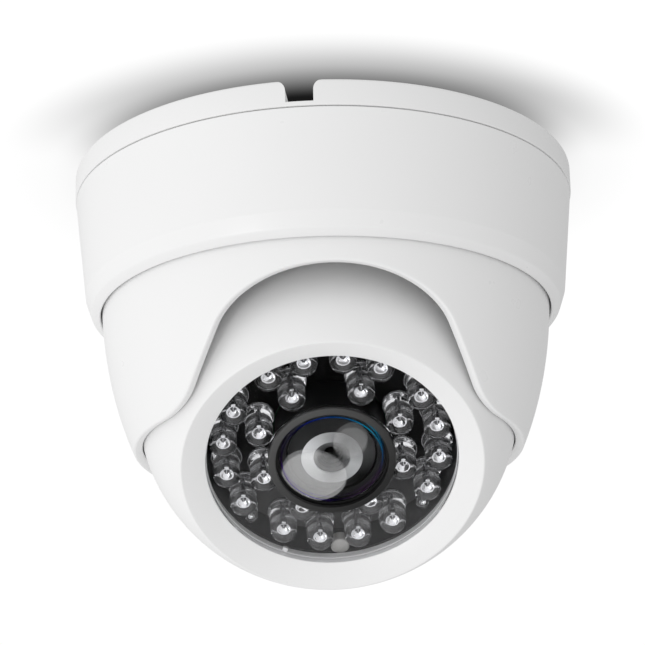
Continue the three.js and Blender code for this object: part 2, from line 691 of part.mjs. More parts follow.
function shellScrew([x, y]) {
  const tipH = SCREW_HEAD_H + SCREW_LENGTH;
  return turned([
    [0, SCREW_HEAD_H - SCREW_HEAD_T], [SCREW_HEAD_R, SCREW_HEAD_H - SCREW_HEAD_T],
    [SCREW_HEAD_R, SCREW_HEAD_H],
    [SCREW_R, SCREW_HEAD_H], [SCREW_R, tipH - SCREW_POINT_H], [0, tipH],
  ], 12).translate(x, y, 0);
}

// ---------------------------------------------------------------- face of the ball

function windowDisc() {
  return ring(LENS_HEAD_R + WINDOW_PLAY, windowR, windowBackH, windowTopH, BALL_SEGMENTS);
}

function windowGasket() {
  const high = windowBackH - SEAT_GAP;
  return ring(windowR - GASKET_W, windowR, high - GASKET_T, high, BALL_SEGMENTS);
}

/** The black ring that the lamp board sits in, behind the bezel's lip. */
function lampChassis() {
  const topH = bezelLipH - SEAT_GAP;
  const ledgeH = boardBackH - SEAT_GAP;
  const outerR = chassisR + CHASSIS_WALL;
  const cup = turned([
    [chassisR, topH], [outerR, topH], [outerR, ledgeH - CHASSIS_LEDGE_T],
    [ledgeR, ledgeH - CHASSIS_LEDGE_T], [ledgeR, ledgeH], [chassisR, ledgeH],
  ], BALL_SEGMENTS);
  const [x, y] = facePlace(photoCellRingR, PHOTO_CELL_ANGLE);
  const socket = rod(PHOTO_CELL_R + SEAT_GAP, topH - PHOTO_CELL_T - SEAT_GAP, topH + PAST).translate(x, y, 0);
  return carve(cup, { cut: [socket] });
}

function lampBoard() {
  return ring(lensNeckR + BOARD_HOLE_PLAY, boardR, boardBackH, boardFaceH, BALL_SEGMENTS);
}

/** Places in the face plane; an angle is counted from straight up towards -X. */
function facePlace(radius, angle) {
  const turn = radians(angle + FACE_CLOCK);
  return [-radius * Math.sin(turn), radius * Math.cos(turn)];
}

/** Two rings of lamps: the outer one in four groups of four, the inner one in mirrored pairs. */
function lampPlaces() {
  const firstInGroup = (-OUTER_PITCH * (OUTER_PER_GROUP - 1)) / 2;
  const outer = spread(OUTER_GROUPS).flatMap((middle) => Array.from({ length: OUTER_PER_GROUP },
    (_, i) => facePlace(outerRingR, middle + firstInGroup + i * OUTER_PITCH)));
  const inner = INNER_ANGLES.flatMap((angle) => [angle, -angle, 180 - angle, angle - 180])
    .map((angle) => facePlace(innerRingR, angle));
  return [...outer, ...inner];
}

/** A round-nosed lamp with a flange at its foot, standing on the lamp board. */
function lamp([x, y]) {
  const foot = boardFaceH + SEAT_GAP;
  const nose = foot + LAMP_LENGTH - LAMP_R;
  return turned([
    [0, foot], [lampFlangeR, foot], [lampFlangeR, foot + LAMP_FLANGE_T], [LAMP_R, foot + LAMP_FLANGE_T],
    [LAMP_R, nose], [LAMP_R * Math.cos(radians(40)), nose + LAMP_R * Math.sin(radians(40))],
    [0, nose + LAMP_R],
  ], LAMP_SEGMENTS).translate(x, y, 0);
}

/** A white light cell, seated in a round socket in the chassis wall. */
function photoCell() {
  const [x, y] = facePlace(photoCellRingR, PHOTO_CELL_ANGLE);
  const faceH = bezelLipH - SEAT_GAP;
  return rod(PHOTO_CELL_R, faceH - PHOTO_CELL_T, faceH).translate(x, y, 0);
}

function lightSensor(side) {
  const [x, y] = facePlace(sensorRingR, side * SENSOR_ANGLE);
  const foot = boardFaceH + SEAT_GAP;
  const nose = foot + SENSOR_LENGTH - SENSOR_R;
  return turned([
    [0, foot], [SENSOR_R, foot], [SENSOR_R, nose],
    [SENSOR_R * Math.cos(radians(45)), nose + SENSOR_R * Math.sin(radians(45))], [0, nose + SENSOR_R],
  ], 12).translate(x, y, 0);
}

// ---------------------------------------------------------------- lens

function lensFrontRing() {
  const back = lensFaceH - LENS_RING_T;
  return turned([
    [ringBoreR, back], [LENS_HEAD_R, back], [LENS_HEAD_R, lensFaceH - LENS_CHAMFER],
    [LENS_HEAD_R - LENS_CHAMFER, lensFaceH], [ringBoreR, lensFaceH],
  ], BALL_SEGMENTS);
}

function lensBarrel() {
  const headTop = lensFaceH - LENS_RING_T - SEAT_GAP;
  const headLow = headTop - LENS_HEAD_T;
  const seatR = glassR + SEAT_GAP;
  const rearH = lensFaceH - LENS_DEPTH;
  const neckBaseH = lensFaceH - LENS_NECK_DEPTH;
  return turned([
    [LENS_REAR_BORE_R, rearH], [LENS_THREAD_R, rearH],
    [LENS_THREAD_R, neckBaseH - LENS_NECK_SLOPE],
    [lensNeckR, neckBaseH], [lensNeckR, headLow], [LENS_HEAD_R, headLow], [LENS_HEAD_R, headTop],
    [seatR, headTop], [seatR, glassEdgeH - SEAT_GAP], [lensBoreR, glassEdgeH - SEAT_GAP],
    [lensBoreR, lensFloorH], [LENS_REAR_BORE_R, lensFloorH],
  ], BALL_SEGMENTS);
}

/** The front element: a domed face and a hollow back. */
function frontGlass() {
  const top = glassEdgeH + GLASS_EDGE;
  const crown = [0.8, 0.55, 0.25].map((share) => [glassR * share, top + GLASS_CROWN * (1 - share ** 2)]);
  const hollow = [0.35, 0.7].map((share) => [
    hollowR * share, glassEdgeH + GLASS_HOLLOW * (1 - share ** 2)]);
  return turned([
    [0, glassEdgeH + GLASS_HOLLOW], ...hollow, [hollowR, glassEdgeH], [glassR, glassEdgeH],
    [glassR, top], ...crown, [0, top + GLASS_CROWN],
  ], PART_SEGMENTS);
}

/** A domed stop close behind the front element; its flat middle ring leaves the round pupil open. */
function lensBaffle() {
  const outerR = lensBoreR - SEAT_GAP;
  const foot = lensFloorH + SEAT_GAP;
  const ringH = lensFaceH - BAFFLE_RING_DEPTH;
  return turned([
    [outerR, foot], [outerR, ringH - BAFFLE_CONE_H], [baffleRingR, ringH], [pupilR, ringH],
    [pupilR, ringH - PUPIL_T], [LENS_REAR_BORE_R, foot],
  ], PART_SEGMENTS);
}

function rearGlass() {
  const edgeR = LENS_REAR_BORE_R - SEAT_GAP;
  const low = lensFaceH - REAR_GLASS_DEPTH;
  const high = low + REAR_GLASS_T;
  return turned([
    [0, low - REAR_GLASS_HOLLOW], [edgeR, low], [edgeR, high],
    [edgeR / 2, high + REAR_GLASS_CROWN * 0.75], [0, high + REAR_GLASS_CROWN],
  ], PART_SEGMENTS);
}

// ---------------------------------------------------------------- electronics

function circuitBoard() {
  const half = CIRCUIT_SIDE / 2;
  return block([-half, -half, circuitH - CIRCUIT_T], [half, half, circuitH]);
}

function imageSensor() {
  const [w, d, t] = CHIP_SIZE;
  const low = circuitH + SEAT_GAP;
  return block([-w / 2, -d / 2, low], [w / 2, d / 2, low + t]);
}

function lensHolder() {
  const half = HOLDER_SIDE / 2;
  const low = circuitH + SEAT_GAP;
  const body = block([-half, -half, low], [half, half, low + HOLDER_FOOT_T]);
  const tower = rod(half - HOLDER_TOWER_INSET, low + HOLDER_FOOT_T / 2, holderTopH);
  const bore = rod(LENS_THREAD_R + SEAT_GAP, low - PAST, holderTopH + PAST);
  return carve(body, { join: [tower], cut: [bore] });
}

function boardSpacer(side) {
  const high = boardBackH - SEAT_GAP;
  const reach = (ledgeR - SPACER_R - SPACER_EDGE_GAP) * Math.SQRT1_2;
  return rod(SPACER_R, circuitH + SEAT_GAP, high, 12).translate(side * reach, -reach, 0);
}

function lampPlug() {
  const [w, d, t] = PLUG_SIZE;
  const high = boardBackH - SEAT_GAP;
  const y = ledgeR - PLUG_SETBACK;
  return block([-w / 2, y - d / 2, high - t], [w / 2, y + d / 2, high]);
}

// ---------------------------------------------------------------- assembly

const sides = { left: -1, right: 1 };

const fixedFrame = new THREE.Group();
fixedFrame.add(
  mesh('base_plate', basePlate(), WHITE_SATIN),
  mesh('friction_ring', frictionRing(), RUBBER_BLACK),
  mesh('cover_ring', coverRing(), WHITE_GLOSS),
  mesh('shroud', shroud(), WHITE_GLOSS),
);
for (const [name, side] of Object.entries(sides)) {
  fixedFrame.add(mesh(`pivot_keeper_${name}`, pivotKeeper(side), BLACK_PLASTIC));
}

// The ball's own frame: its middle at the origin, the line of sight along +Z and +Y up the face.
const ball = new THREE.Group();
ball.position.set(0, 0, ballZ);
ball.rotation.x = radians(90 + AIM_BELOW_LEVEL);
ball.add(
  mesh('tilt_hoop', tiltHoop(), STEEL),
  mesh('roll_bush', rollBush(), BLACK_PLASTIC),
  mesh('cable_sleeve', cableSleeve(), RUBBER_BLACK),
  mesh('ball_front_shell', ballFrontShell(), WHITE_GLOSS),
  mesh('ball_rear_shell', ballRearShell(), WHITE_GLOSS),
  mesh('window', windowDisc(), CLEAR_WINDOW),
  mesh('window_gasket', windowGasket(), WHITE_SATIN),
  mesh('lamp_chassis', lampChassis(), BLACK_PLASTIC),
  mesh('lamp_board', lampBoard(), BOARD_BLACK),
  mesh('photo_cell', photoCell(), CELL_CREAM),
  mesh('lamp_plug', lampPlug(), WHITE_SATIN),
  mesh('circuit_board', circuitBoard(), BOARD_GREEN),
  mesh('image_sensor', imageSensor(), BLACK_PLASTIC),
  mesh('lens_holder', lensHolder(), BLACK_PLASTIC),
  mesh('lens_barrel', lensBarrel(), LENS_BLACK),
  mesh('lens_front_ring', lensFrontRing(), LENS_BLACK),
  mesh('lens_front_glass', frontGlass(), LENS_GLASS),
  mesh('lens_baffle', lensBaffle(), BAFFLE_GREY),
  mesh('lens_rear_glass', rearGlass(), LENS_GLASS),
);
for (const [name, side] of Object.entries(sides)) {
  ball.add(
    mesh(`tilt_pin_${name}`, tiltPin(side), STEEL),
    mesh(`light_sensor_${name}`, lightSensor(-side), CLEAR_EPOXY),
    mesh(`board_spacer_${name}`, boardSpacer(side), WHITE_SATIN),
  );
}
postPlaces().forEach((place, i) => ball.add(mesh(`shell_screw_${i + 1}`, shellScrew(place), STEEL)));
lampPlaces().forEach((place, i) => {
  ball.add(mesh(`lamp_${String(i + 1).padStart(2, '0')}`, lamp(place), CLEAR_EPOXY));
});

const camera = new THREE.Group();
camera.add(fixedFrame, ball);

export default camera;
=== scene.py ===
"""Looks of the ceiling dome camera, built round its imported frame. Outlines are in millimetres."""

import json
import math

import bmesh
import bpy
from mathutils import Matrix, Vector

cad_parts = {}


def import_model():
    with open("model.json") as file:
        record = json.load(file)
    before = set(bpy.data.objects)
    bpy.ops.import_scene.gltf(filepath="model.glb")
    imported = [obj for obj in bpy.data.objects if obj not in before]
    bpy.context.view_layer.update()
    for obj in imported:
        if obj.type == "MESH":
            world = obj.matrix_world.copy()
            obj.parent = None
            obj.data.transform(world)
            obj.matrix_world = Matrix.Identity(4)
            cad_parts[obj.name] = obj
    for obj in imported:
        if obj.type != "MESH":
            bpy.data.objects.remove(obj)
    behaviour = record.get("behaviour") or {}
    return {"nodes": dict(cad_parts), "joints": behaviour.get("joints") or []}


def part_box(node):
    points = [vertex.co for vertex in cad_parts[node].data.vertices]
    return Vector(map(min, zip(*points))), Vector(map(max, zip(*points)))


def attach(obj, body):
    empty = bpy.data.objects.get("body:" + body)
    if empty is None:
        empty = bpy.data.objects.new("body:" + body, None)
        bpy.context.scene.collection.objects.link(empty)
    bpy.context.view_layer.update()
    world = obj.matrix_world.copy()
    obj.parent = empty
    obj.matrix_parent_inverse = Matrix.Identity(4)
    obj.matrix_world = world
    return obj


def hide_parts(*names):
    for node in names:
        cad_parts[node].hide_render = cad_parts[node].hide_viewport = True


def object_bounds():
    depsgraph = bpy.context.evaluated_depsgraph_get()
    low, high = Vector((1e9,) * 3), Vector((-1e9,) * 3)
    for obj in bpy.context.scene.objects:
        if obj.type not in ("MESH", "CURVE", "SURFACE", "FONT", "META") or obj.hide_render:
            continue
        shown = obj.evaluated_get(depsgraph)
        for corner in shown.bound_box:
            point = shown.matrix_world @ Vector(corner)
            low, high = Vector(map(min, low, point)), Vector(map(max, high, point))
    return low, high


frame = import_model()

CAD_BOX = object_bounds()
MM = 0.001
JOINTS = {joint["name"]: joint for joint in frame["joints"]}

# ---------------------------------------------------------------- frames and sizes, from the CAD

BALL_CENTRE = Vector(JOINTS["roll"]["pos_m"])
SIGHT = Vector(JOINTS["roll"]["axis"]).normalized()
FACE_UP = SIGHT.cross(Vector((1, 0, 0)))
ROW = Matrix.Identity(4)
BALL = Matrix.Translation(BALL_CENTRE) @ Matrix((
    (1, FACE_UP.x, SIGHT.x, 0), (0, FACE_UP.y, SIGHT.y, 0), (0, FACE_UP.z, SIGHT.z, 0), (0, 0, 0, 1)))


def top_z(node):
    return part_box(node)[1].z / MM


def low_z(node):
    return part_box(node)[0].z / MM


def face_place(node):
    """Where a node's middle is across the face: x and y of the ball's own frame, in millimetres."""
    low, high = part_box(node)
    middle = BALL.inverted() @ ((low + high) / 2)
    return middle.x / MM, middle.y / MM


def half_width(node):
    low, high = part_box(node)
    return (high.x - low.x) / 2 / MM


BASE_R = half_width("base_plate")
COVER_R = half_width("cover_ring")
COVER_TOP_Z = top_z("cover_ring")
COVER_MOUTH_Z = low_z("cover_ring")
BALL_R = half_width("ball_front_shell")

# ---------------------------------------------------------------- sizes of the finer shapes
# Names in _Z are heights from the ceiling face, which is at 0, and names in _H are heights along the line of
# sight from the ball's centre. COVER_BEND, COVER_CORNER and COVER_INSIDE are (radius, height) points. The
# shroud is part of an ellipsoid with half axes SHROUD_A and SHROUD_B round SHROUD_Z0.

PLATE_T = 2.6
PLATE_HOLE_R = 9.0
SKIRT_DEPTH = 5.0
SKIRT_WALL = 2.1
COLLAR_R = 41.4
COLLAR_BORE_R = 39.4
COLLAR_LOW_Z = -19.2

CHANNEL_AZIMUTH = -7.0
CHANNEL_HALF_W = 2.5
CHANNEL_DEPTH = 4.2
CHANNEL_FLARE_R = 1.9
TROUGH_LOW = (-3.7, -44.0, -5.4)
TROUGH_HIGH = (3.7, -9.5, -1.3)

SCREW_HOLE_ANGLES = (90, 210, 330)
SCREW_CIRCLE_R = 29
SCREW_HOLE_R = 2.2
SCREW_MOUTH_R = 2.6
SCREW_WELL_R = 4.2
SCREW_SEAT_Z = -1.6

COVER_TOP_GAP = 0.14
COVER_TOP_WALL = 2.0
COVER_BEND = (45.0, -23.9)
COVER_CORNER = (44.0, -26.9)
COVER_MOUTH_R = 42.2
COVER_BORE_R = 43.9
COVER_LEDGE_Z = -24.3
COVER_BORE_TOP_Z = -20.3
COVER_INSIDE = (44.65, -8)

SHROUD_A = 41.96
SHROUD_B = 58.1
SHROUD_Z0 = -24.0
SHROUD_TOP_Z = -21.6
SHROUD_LEVEL_Z = -54.0
SHROUD_EDGE_T = 1.8
SHROUD_WALL = 1.5
SHROUD_OUTER_FILLET = 0.45
SHROUD_INNER_FILLET = 0.35
ARCH_APEX_Z = -31.7
ARCH_HALF_W = 22.2
ARCH_RISE = 12.5
ARCH_SPLAY = math.radians(25.6)
ARCH_FOOT_R = 5.9

BEZEL_OUTER_R = 27.3
BEZEL_INNER_R = 22.85
BEZEL_INNER_H = 20.2
BEZEL_LIP_H = 17.0
FACE_BORE_R = 25.6
FACE_BORE_H = 19.0
BALL_WALL = 1.94
SEAM_H = -6.0
SEAM_GAP = 0.3
SEAM_CHAMFER_R = 0.15
SEAM_CHAMFER_H = 0.2
SEAM_INNER_R = 33.0
SPIGOT_R = 32.5
SPIGOT_BORE_R = 31.0
SPIGOT_RISE = 3
BUSH_HOLE_R = 7.2
RECESS_R = 2.5
RECESS_FLOOR_H = -14.1

WINDOW_BACK_H = 19.3
WINDOW_T = 0.8
WINDOW_HOLE_R = 11.9
WINDOW_GAP = 0.04
SEAL_R = 22.8
SEAL_BORE_R = 22.66
SEAL_BACK_H = 18.2
SEAL_FRONT_H = 18.95
TAB_ANGLE = -112
TAB_LOW = (21.9, -0.5, 18.3)
TAB_HIGH = (22.7, 0.5, SEAL_FRONT_H)

CHASSIS_R = 25.3
CHASSIS_BORE_R = 22.9
CHASSIS_LEDGE_R = 20.5
CHASSIS_BACK_H = 7.0
CHASSIS_LEDGE_H = 8.1
CHASSIS_FRONT_H = 16.7
BOARD_R = 22.6
BOARD_HOLE_R = 10.7
BOARD_BACK_H = 8.4
BOARD_FACE_H = 10.0

LAMP_COUNT = 24
LAMP_R = 2.5
LAMP_FLANGE_R = 2.9
LAMP_LENGTH = 8.6
LAMP_FOOT_H = 10.3
SENSOR_LENGTH = 6.2
CELL_BACK_H = 14.4
CELL_SIDE_H = 16.4
CELL_FRONT_H = 16.75
CELL_ROUND_R = 0.35

LENS_HEAD_R = 11.55
LENS_BODY_R = 10.2
LENS_THREAD_R = 6.0
LENS_BORE_R = 8.2
THREAD_BORE_R = 4.8
GLASS_SEAT_R = 9.85
FRONT_RING_BORE_R = 10.25
THREAD_BACK_H = -1.5
HEAD_BACK_H = 18.3
HEAD_FRONT_H = 19.1
FRONT_RING_H = (19.4, 20.2)
DOME_R = 9.5
DOME_RISE = 1.45
DOME_EDGE_H = 19.2
GLASS_R = 9.7
GLASS_BACK_H = 17.9
HOLLOW_R = 8.0
HOLLOW_RISE = 2.0
BAFFLE_R = 7.9
BAFFLE_RING_H = 18.8
PUPIL_R = 3.35
BAFFLE_RING_R = 5.55

# The front glass's two painted pale reflections, as (centre across the face) and radius, and the radius of
# its painted coating reflection line.
LOW_PAINTED_REFLECTION, LOW_PAINTED_REFLECTION_R = (-3.2, -3.5), 5.85
HIGH_PAINTED_REFLECTION, HIGH_PAINTED_REFLECTION_R = (3.2, 4.0), 3.1
COATING_R = 9.15

# ---------------------------------------------------------------- outlines


def arc(centre, radius, start, end, steps):
    """Points of an arc, or of an ellipse where radius is a pair, from one angle in degrees to another."""
    rx, ry = radius if isinstance(radius, tuple) else (radius, radius)
    turns = [math.radians(start + (end - start) * i / steps) for i in range(steps + 1)]
    return [(centre[0] + rx * math.cos(a), centre[1] + ry * math.sin(a)) for a in turns]


def sphere_arc(radius, from_h, to_h, steps):
    """The (radius, height) profile of a sphere round the ball's centre between two heights."""
    start, end = (math.degrees(math.asin(h / radius)) for h in (from_h, to_h))
    return arc((0, 0), radius, start, end, steps)


def rounded(corners, steps=5):
    """A closed outline from (x, y, rounding) corners: each corner becomes an arc of its own radius."""
    points = []
    count = len(corners)
    for i, (x, y, radius) in enumerate(corners):
        here = Vector((x, y))
        if radius == 0:
            points.append((x, y))
            continue
        before = (Vector(corners[i - 1][:2]) - here).normalized()
        after = (Vector(corners[(i + 1) % count][:2]) - here).normalized()
        half = before.angle(after) / 2
        reach = radius / math.tan(half)
        middle = here + (before + after).normalized() * (radius / math.sin(half))
        first = here + before * reach - middle
        sweep = first.angle_signed(here + after * reach - middle)
        for k in range(steps + 1):
            turn = Matrix.Rotation(-sweep * k / steps, 2)
            points.append(tuple(middle + turn @ first))
    return points


# ---------------------------------------------------------------- meshes


def mark_edges(bm, sharp):
    """Smooth shading everywhere but over edges sharper than the given angle in degrees."""
    for face in bm.faces:
        face.smooth = True
    for edge in bm.edges:
        edge.smooth = len(edge.link_faces) == 2 and edge.calc_face_angle(0) < math.radians(sharp)


def to_object(name, bm, material, matrix=ROW, sharp=40):
    """A mesh object from a bmesh in millimetres, with its doubled points merged."""
    bmesh.ops.remove_doubles(bm, verts=bm.verts, dist=1e-4)
    bmesh.ops.recalc_face_normals(bm, faces=bm.faces)
    mark_edges(bm, sharp)
    mesh = bpy.data.meshes.new(name)
    bm.to_mesh(mesh)
    bm.free()
    mesh.transform(Matrix.Scale(MM, 4))
    for item in material if isinstance(material, (list, tuple)) else [material]:
        mesh.materials.append(item)
    obj = bpy.data.objects.new(name, mesh)
    obj.matrix_world = matrix
    bpy.context.scene.collection.objects.link(obj)
    return obj


def add_lathe(bm, profile, segments, closed=True, material_index=0, matrix=None):
    """Turns an outline of (radius, height) points about Z; points on the axis become poles."""
    rings = []
    for r, h in profile:
        if r < 1e-6:
            rings.append([bm.verts.new((0, 0, h))])
        else:
            turns = [2 * math.pi * k / segments for k in range(segments)]
            rings.append([bm.verts.new((r * math.cos(a), r * math.sin(a), h)) for a in turns])
    pairs = list(zip(rings, rings[1:]))
    if closed:
        pairs.append((rings[-1], rings[0]))
    for one, two in pairs:
        for k in range(segments):
            n = (k + 1) % segments
            corners = [one[k % len(one)], one[n % len(one)], two[n % len(two)], two[k % len(two)]]
            face = list(dict.fromkeys(corners))
            if len(face) > 2:
                bm.faces.new(face).material_index = material_index
    if matrix is not None:
        bmesh.ops.transform(bm, matrix=matrix, verts=[v for ring in rings for v in ring])


def lathe(name, profile, material, matrix=ROW, segments=160, closed=True):
    """An object turned from one outline."""
    bm = bmesh.new()
    add_lathe(bm, profile, segments, closed)
    return to_object(name, bm, material, matrix)


def add_block(bm, low, high, material_index=0, bevel=0.0, matrix=None):
    """A box between two corners, with its edges bevelled where a bevel is given."""
    made = bmesh.ops.create_cube(bm, size=1)["verts"]
    size = Vector(high) - Vector(low)
    middle = (Vector(high) + Vector(low)) / 2
    bmesh.ops.transform(bm, matrix=Matrix.Translation(middle) @ Matrix.Diagonal(size.to_4d()), verts=made)
    faces = {face for v in made for face in v.link_faces}
    for face in faces:
        face.material_index = material_index
    if bevel:
        edges = {edge for v in made for edge in v.link_edges}
        result = bmesh.ops.bevel(
            bm, geom=list(edges), offset=bevel, segments=2, affect="EDGES", profile=0.5, clamp_overlap=True)
        made = result["verts"] + [v for v in made if v.is_valid]
        for face in result["faces"]:
            face.material_index = material_index
    if matrix is not None:
        bmesh.ops.transform(bm, matrix=matrix, verts=list({v for v in made if v.is_valid}))


def boolean(obj, others, operation="DIFFERENCE"):
    """Cuts the object with the others, or joins them to it, applies the result and removes the others."""
    for other in others:
        step = obj.modifiers.new("step", "BOOLEAN")
        step.operation = operation
        step.solver = "EXACT"
        step.object = other
    bpy.context.view_layer.update()
    done = bpy.data.meshes.new_from_object(obj.evaluated_get(bpy.context.evaluated_depsgraph_get()))
    obj.modifiers.clear()
    old = obj.data
    obj.data = done
    bpy.data.meshes.remove(old)
    for other in others:
        bpy.data.objects.remove(other)
    bm = bmesh.new()
    bm.from_mesh(done)
    bmesh.ops.remove_doubles(bm, verts=bm.verts, dist=1e-7)
    mark_edges(bm, 30)
    bm.to_mesh(done)
    bm.free()


def place_in_mesh(obj):
    """Moves the object's placing into its mesh, so that its box lies along the row's own axes."""
    obj.data.transform(obj.matrix_world)
    obj.matrix_world = ROW
    return obj


def settle(obj, body, slot, *nodes):
    """The piece rides on a body and stands for the given CAD nodes, which it hides; the slot argument is not
    used.
    """
    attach(obj, body)
    if nodes:
        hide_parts(*nodes)


# ---------------------------------------------------------------- materials


class Nodes:
    """A material's node tree with short ways to add and join nodes."""

    def __init__(self, name):
        self.material = bpy.data.materials.new(name)
        self.material.use_nodes = True
        self.tree = self.material.node_tree
        self.shader = self.tree.nodes["Principled BSDF"]
        self.output = self.tree.nodes["Material Output"]
        self.place = self.add("ShaderNodeTexCoord")

    def add(self, kind, **settings):
        node = self.tree.nodes.new(kind)
        for key, value in settings.items():
            setattr(node, key, value)
        return node

    def join(self, source, target):
        self.tree.links.new(source, target)

    def noise(self, scale, detail=3.0, roughness=0.5):
        node = self.add("ShaderNodeTexNoise")
        node.inputs["Scale"].default_value = scale
        node.inputs["Detail"].default_value = detail
        node.inputs["Roughness"].default_value = roughness
        self.join(self.place.outputs["Object"], node.inputs["Vector"])
        return node.outputs["Fac"]

    def spread(self, source, low, high):
        """Maps the middle half of a noise's values to a range."""
        node = self.add("ShaderNodeMapRange")
        node.inputs["From Min"].default_value = 0.25
        node.inputs["From Max"].default_value = 0.75
        node.inputs["To Min"].default_value = low
        node.inputs["To Max"].default_value = high
        self.join(source, node.inputs["Value"])
        return node.outputs["Result"]

    def blend(self, factor, one, two):
        """A colour between two fixed ones."""
        node = self.add("ShaderNodeMix", data_type="RGBA")
        node.inputs["A"].default_value = (*one, 1)
        node.inputs["B"].default_value = (*two, 1)
        self.join(factor, node.inputs["Factor"])
        return node.outputs["Result"]

    def mix_shaders(self, factor, one, two):
        """The first shader where the factor is 0 and the second where it is 1."""
        node = self.add("ShaderNodeMixShader")
        if isinstance(factor, float):
            node.inputs["Fac"].default_value = factor
        else:
            self.join(factor, node.inputs["Fac"])
        self.join(one, node.inputs[1])
        self.join(two, node.inputs[2])
        return node.outputs["Shader"]

    def mix_colours(self, factor, one, two):
        """As blend, but between two computed colours."""
        node = self.add("ShaderNodeMix", data_type="RGBA")
        self.join(one, node.inputs["A"])
        self.join(two, node.inputs["B"])
        self.join(factor, node.inputs["Factor"])
        return node.outputs["Result"]

    def math(self, operation, *values):
        node = self.add("ShaderNodeMath", operation=operation)
        for socket, value in zip(node.inputs, values):
            if isinstance(value, (int, float)):
                socket.default_value = value
            else:
                self.join(value, socket)
        return node.outputs["Value"]

    def ramp(self, source, start, end, low, high, smooth=False):
        """Maps a stretch of one value to a stretch of another, held at both ends."""
        node = self.add("ShaderNodeMapRange", interpolation_type="SMOOTHSTEP" if smooth else "LINEAR")
        for key, value in (("From Min", start), ("From Max", end), ("To Min", low), ("To Max", high)):
            node.inputs[key].default_value = value
        self.join(source, node.inputs["Value"])
        return node.outputs["Result"]

    def place_mm(self):
        """The shaded point in the piece's own frame, in millimetres."""
        split = self.add("ShaderNodeSeparateXYZ")
        self.join(self.place.outputs["Object"], split.inputs["Vector"])
        return [self.math("DIVIDE", split.outputs[axis], MM) for axis in "XYZ"]

    def polar(self, centre=(0, 0)):
        """Distance from a centre across the face and the angle round it, in degrees from +X."""
        x, y, _ = self.place_mm()
        dx = self.math("SUBTRACT", x, centre[0])
        dy = self.math("SUBTRACT", y, centre[1])
        return self.length(dx, dy), self.math("DEGREES", self.math("ARCTAN2", dy, dx))

    def length(self, x, y):
        return self.math("SQRT", self.math("ADD", self.math("MULTIPLY", x, x), self.math("MULTIPLY", y, y)))

    def disc(self, centre, radius, soft=0.08):
        """1 within a radius of a centre and 0 outside it."""
        distance, _ = self.polar(centre)
        return self.ramp(distance, radius - soft, radius + soft, 1.0, 0.0)

    def band(self, radius, half, soft=0.06):
        """1 on a thin circle round the axis and 0 off it."""
        distance, _ = self.polar()
        off = self.math("ABSOLUTE", self.math("SUBTRACT", distance, radius))
        return self.ramp(off, half - soft, half + soft, 1.0, 0.0)

    def colours_by_angle(self, stops):
        """A colour that goes round the axis: stops are (degrees from -180 to 180, colour)."""
        _, angle = self.polar()
        node = self.add("ShaderNodeValToRGB")
        elements = node.color_ramp.elements
        for k, (degrees, colour) in enumerate(stops):
            item = elements[k] if k < 2 else elements.new(1.0)
            item.position = (degrees + 180) / 360
            item.color = (*colour, 1)
        self.join(self.ramp(angle, -180, 180, 0.0, 1.0), node.inputs["Fac"])
        return node.outputs["Color"]

    def bump(self, source, strength, distance):
        node = self.add("ShaderNodeBump")
        node.inputs["Strength"].default_value = strength
        node.inputs["Distance"].default_value = distance
        self.join(source, node.inputs["Height"])
        self.join(node.outputs["Normal"], self.shader.inputs["Normal"])

    def set(self, **values):
        for key, value in values.items():
            self.shader.inputs[key.replace("_", " ")].default_value = value


def moulded(name, color, roughness, spread=0.04, tint=0.02, grain=900.0, depth=0.00002, **extra):
    """Moulded plastic or rubber: slight colour and gloss drift, and a fine skin texture."""
    n = Nodes(name)
    drift = n.noise(45.0)
    dark = tuple(c * (1 - tint) for c in color)
    light = tuple(min(1.0, c * (1 + tint)) for c in color)
    n.join(n.blend(drift, dark, light), n.shader.inputs["Base Color"])
    n.join(n.spread(n.noise(160.0), roughness - spread, roughness + spread), n.shader.inputs["Roughness"])
    n.bump(n.noise(grain, 2.0), 0.12, depth)
    n.set(**extra)
    return n.material


def metal(name, color, roughness, grain=2200.0):
    n = Nodes(name)
    streaks = n.noise(grain, 4.0)
    n.join(n.blend(streaks, tuple(c * 0.9 for c in color), color), n.shader.inputs["Base Color"])
    n.join(n.spread(streaks, roughness * 0.7, roughness * 1.4), n.shader.inputs["Roughness"])
    n.bump(streaks, 0.08, 0.00001)
    n.set(Metallic=1.0)
    return n.material


def solid_glass(name, tint, ior):
    """Solid clear glass with a faint drift in its tint."""
    n = Nodes(name)
    n.join(n.blend(n.noise(700.0), tuple(c * 0.98 for c in tint), tint), n.shader.inputs["Base Color"])
    n.set(Roughness=0.0, IOR=ior, Transmission_Weight=1.0)
    return n.material


def window_material(tint=(0.985, 0.985, 0.99), shine_ior=1.06, haze=0.022):
    """A thin clear sheet that light goes straight through, faintly shiny, with painted light low on the
    face: a pale diffuse film that fades in towards the bottom.
    """
    n = Nodes("clear_window")
    through = n.add("ShaderNodeBsdfTransparent")
    through.inputs["Color"].default_value = (*tint, 1)
    shine = n.add("ShaderNodeBsdfGlossy")
    shine.inputs["Roughness"].default_value = 0.02
    n.join(n.blend(n.noise(60.0), (0.94, 0.95, 0.96), (1.0, 1.0, 1.0)), shine.inputs["Color"])
    edge = n.add("ShaderNodeFresnel")
    edge.inputs["IOR"].default_value = shine_ior
    sheet = n.mix_shaders(edge.outputs["Fac"], through.outputs["BSDF"], shine.outputs["BSDF"])
    # Painted light: a diffuse film, at most the haze amount, mixed in over the lower part of the face to
    # make it lighter there.
    painted_light_film = n.add("ShaderNodeBsdfDiffuse")
    _, y, _ = n.place_mm()
    painted_low_light = n.ramp(y, -3, -13, 0.0, haze, smooth=True)
    n.join(n.mix_shaders(painted_low_light, sheet, painted_light_film.outputs["BSDF"]), n.output.inputs["Surface"])
    return n.material


def grey(value):
    return (value, value, value)


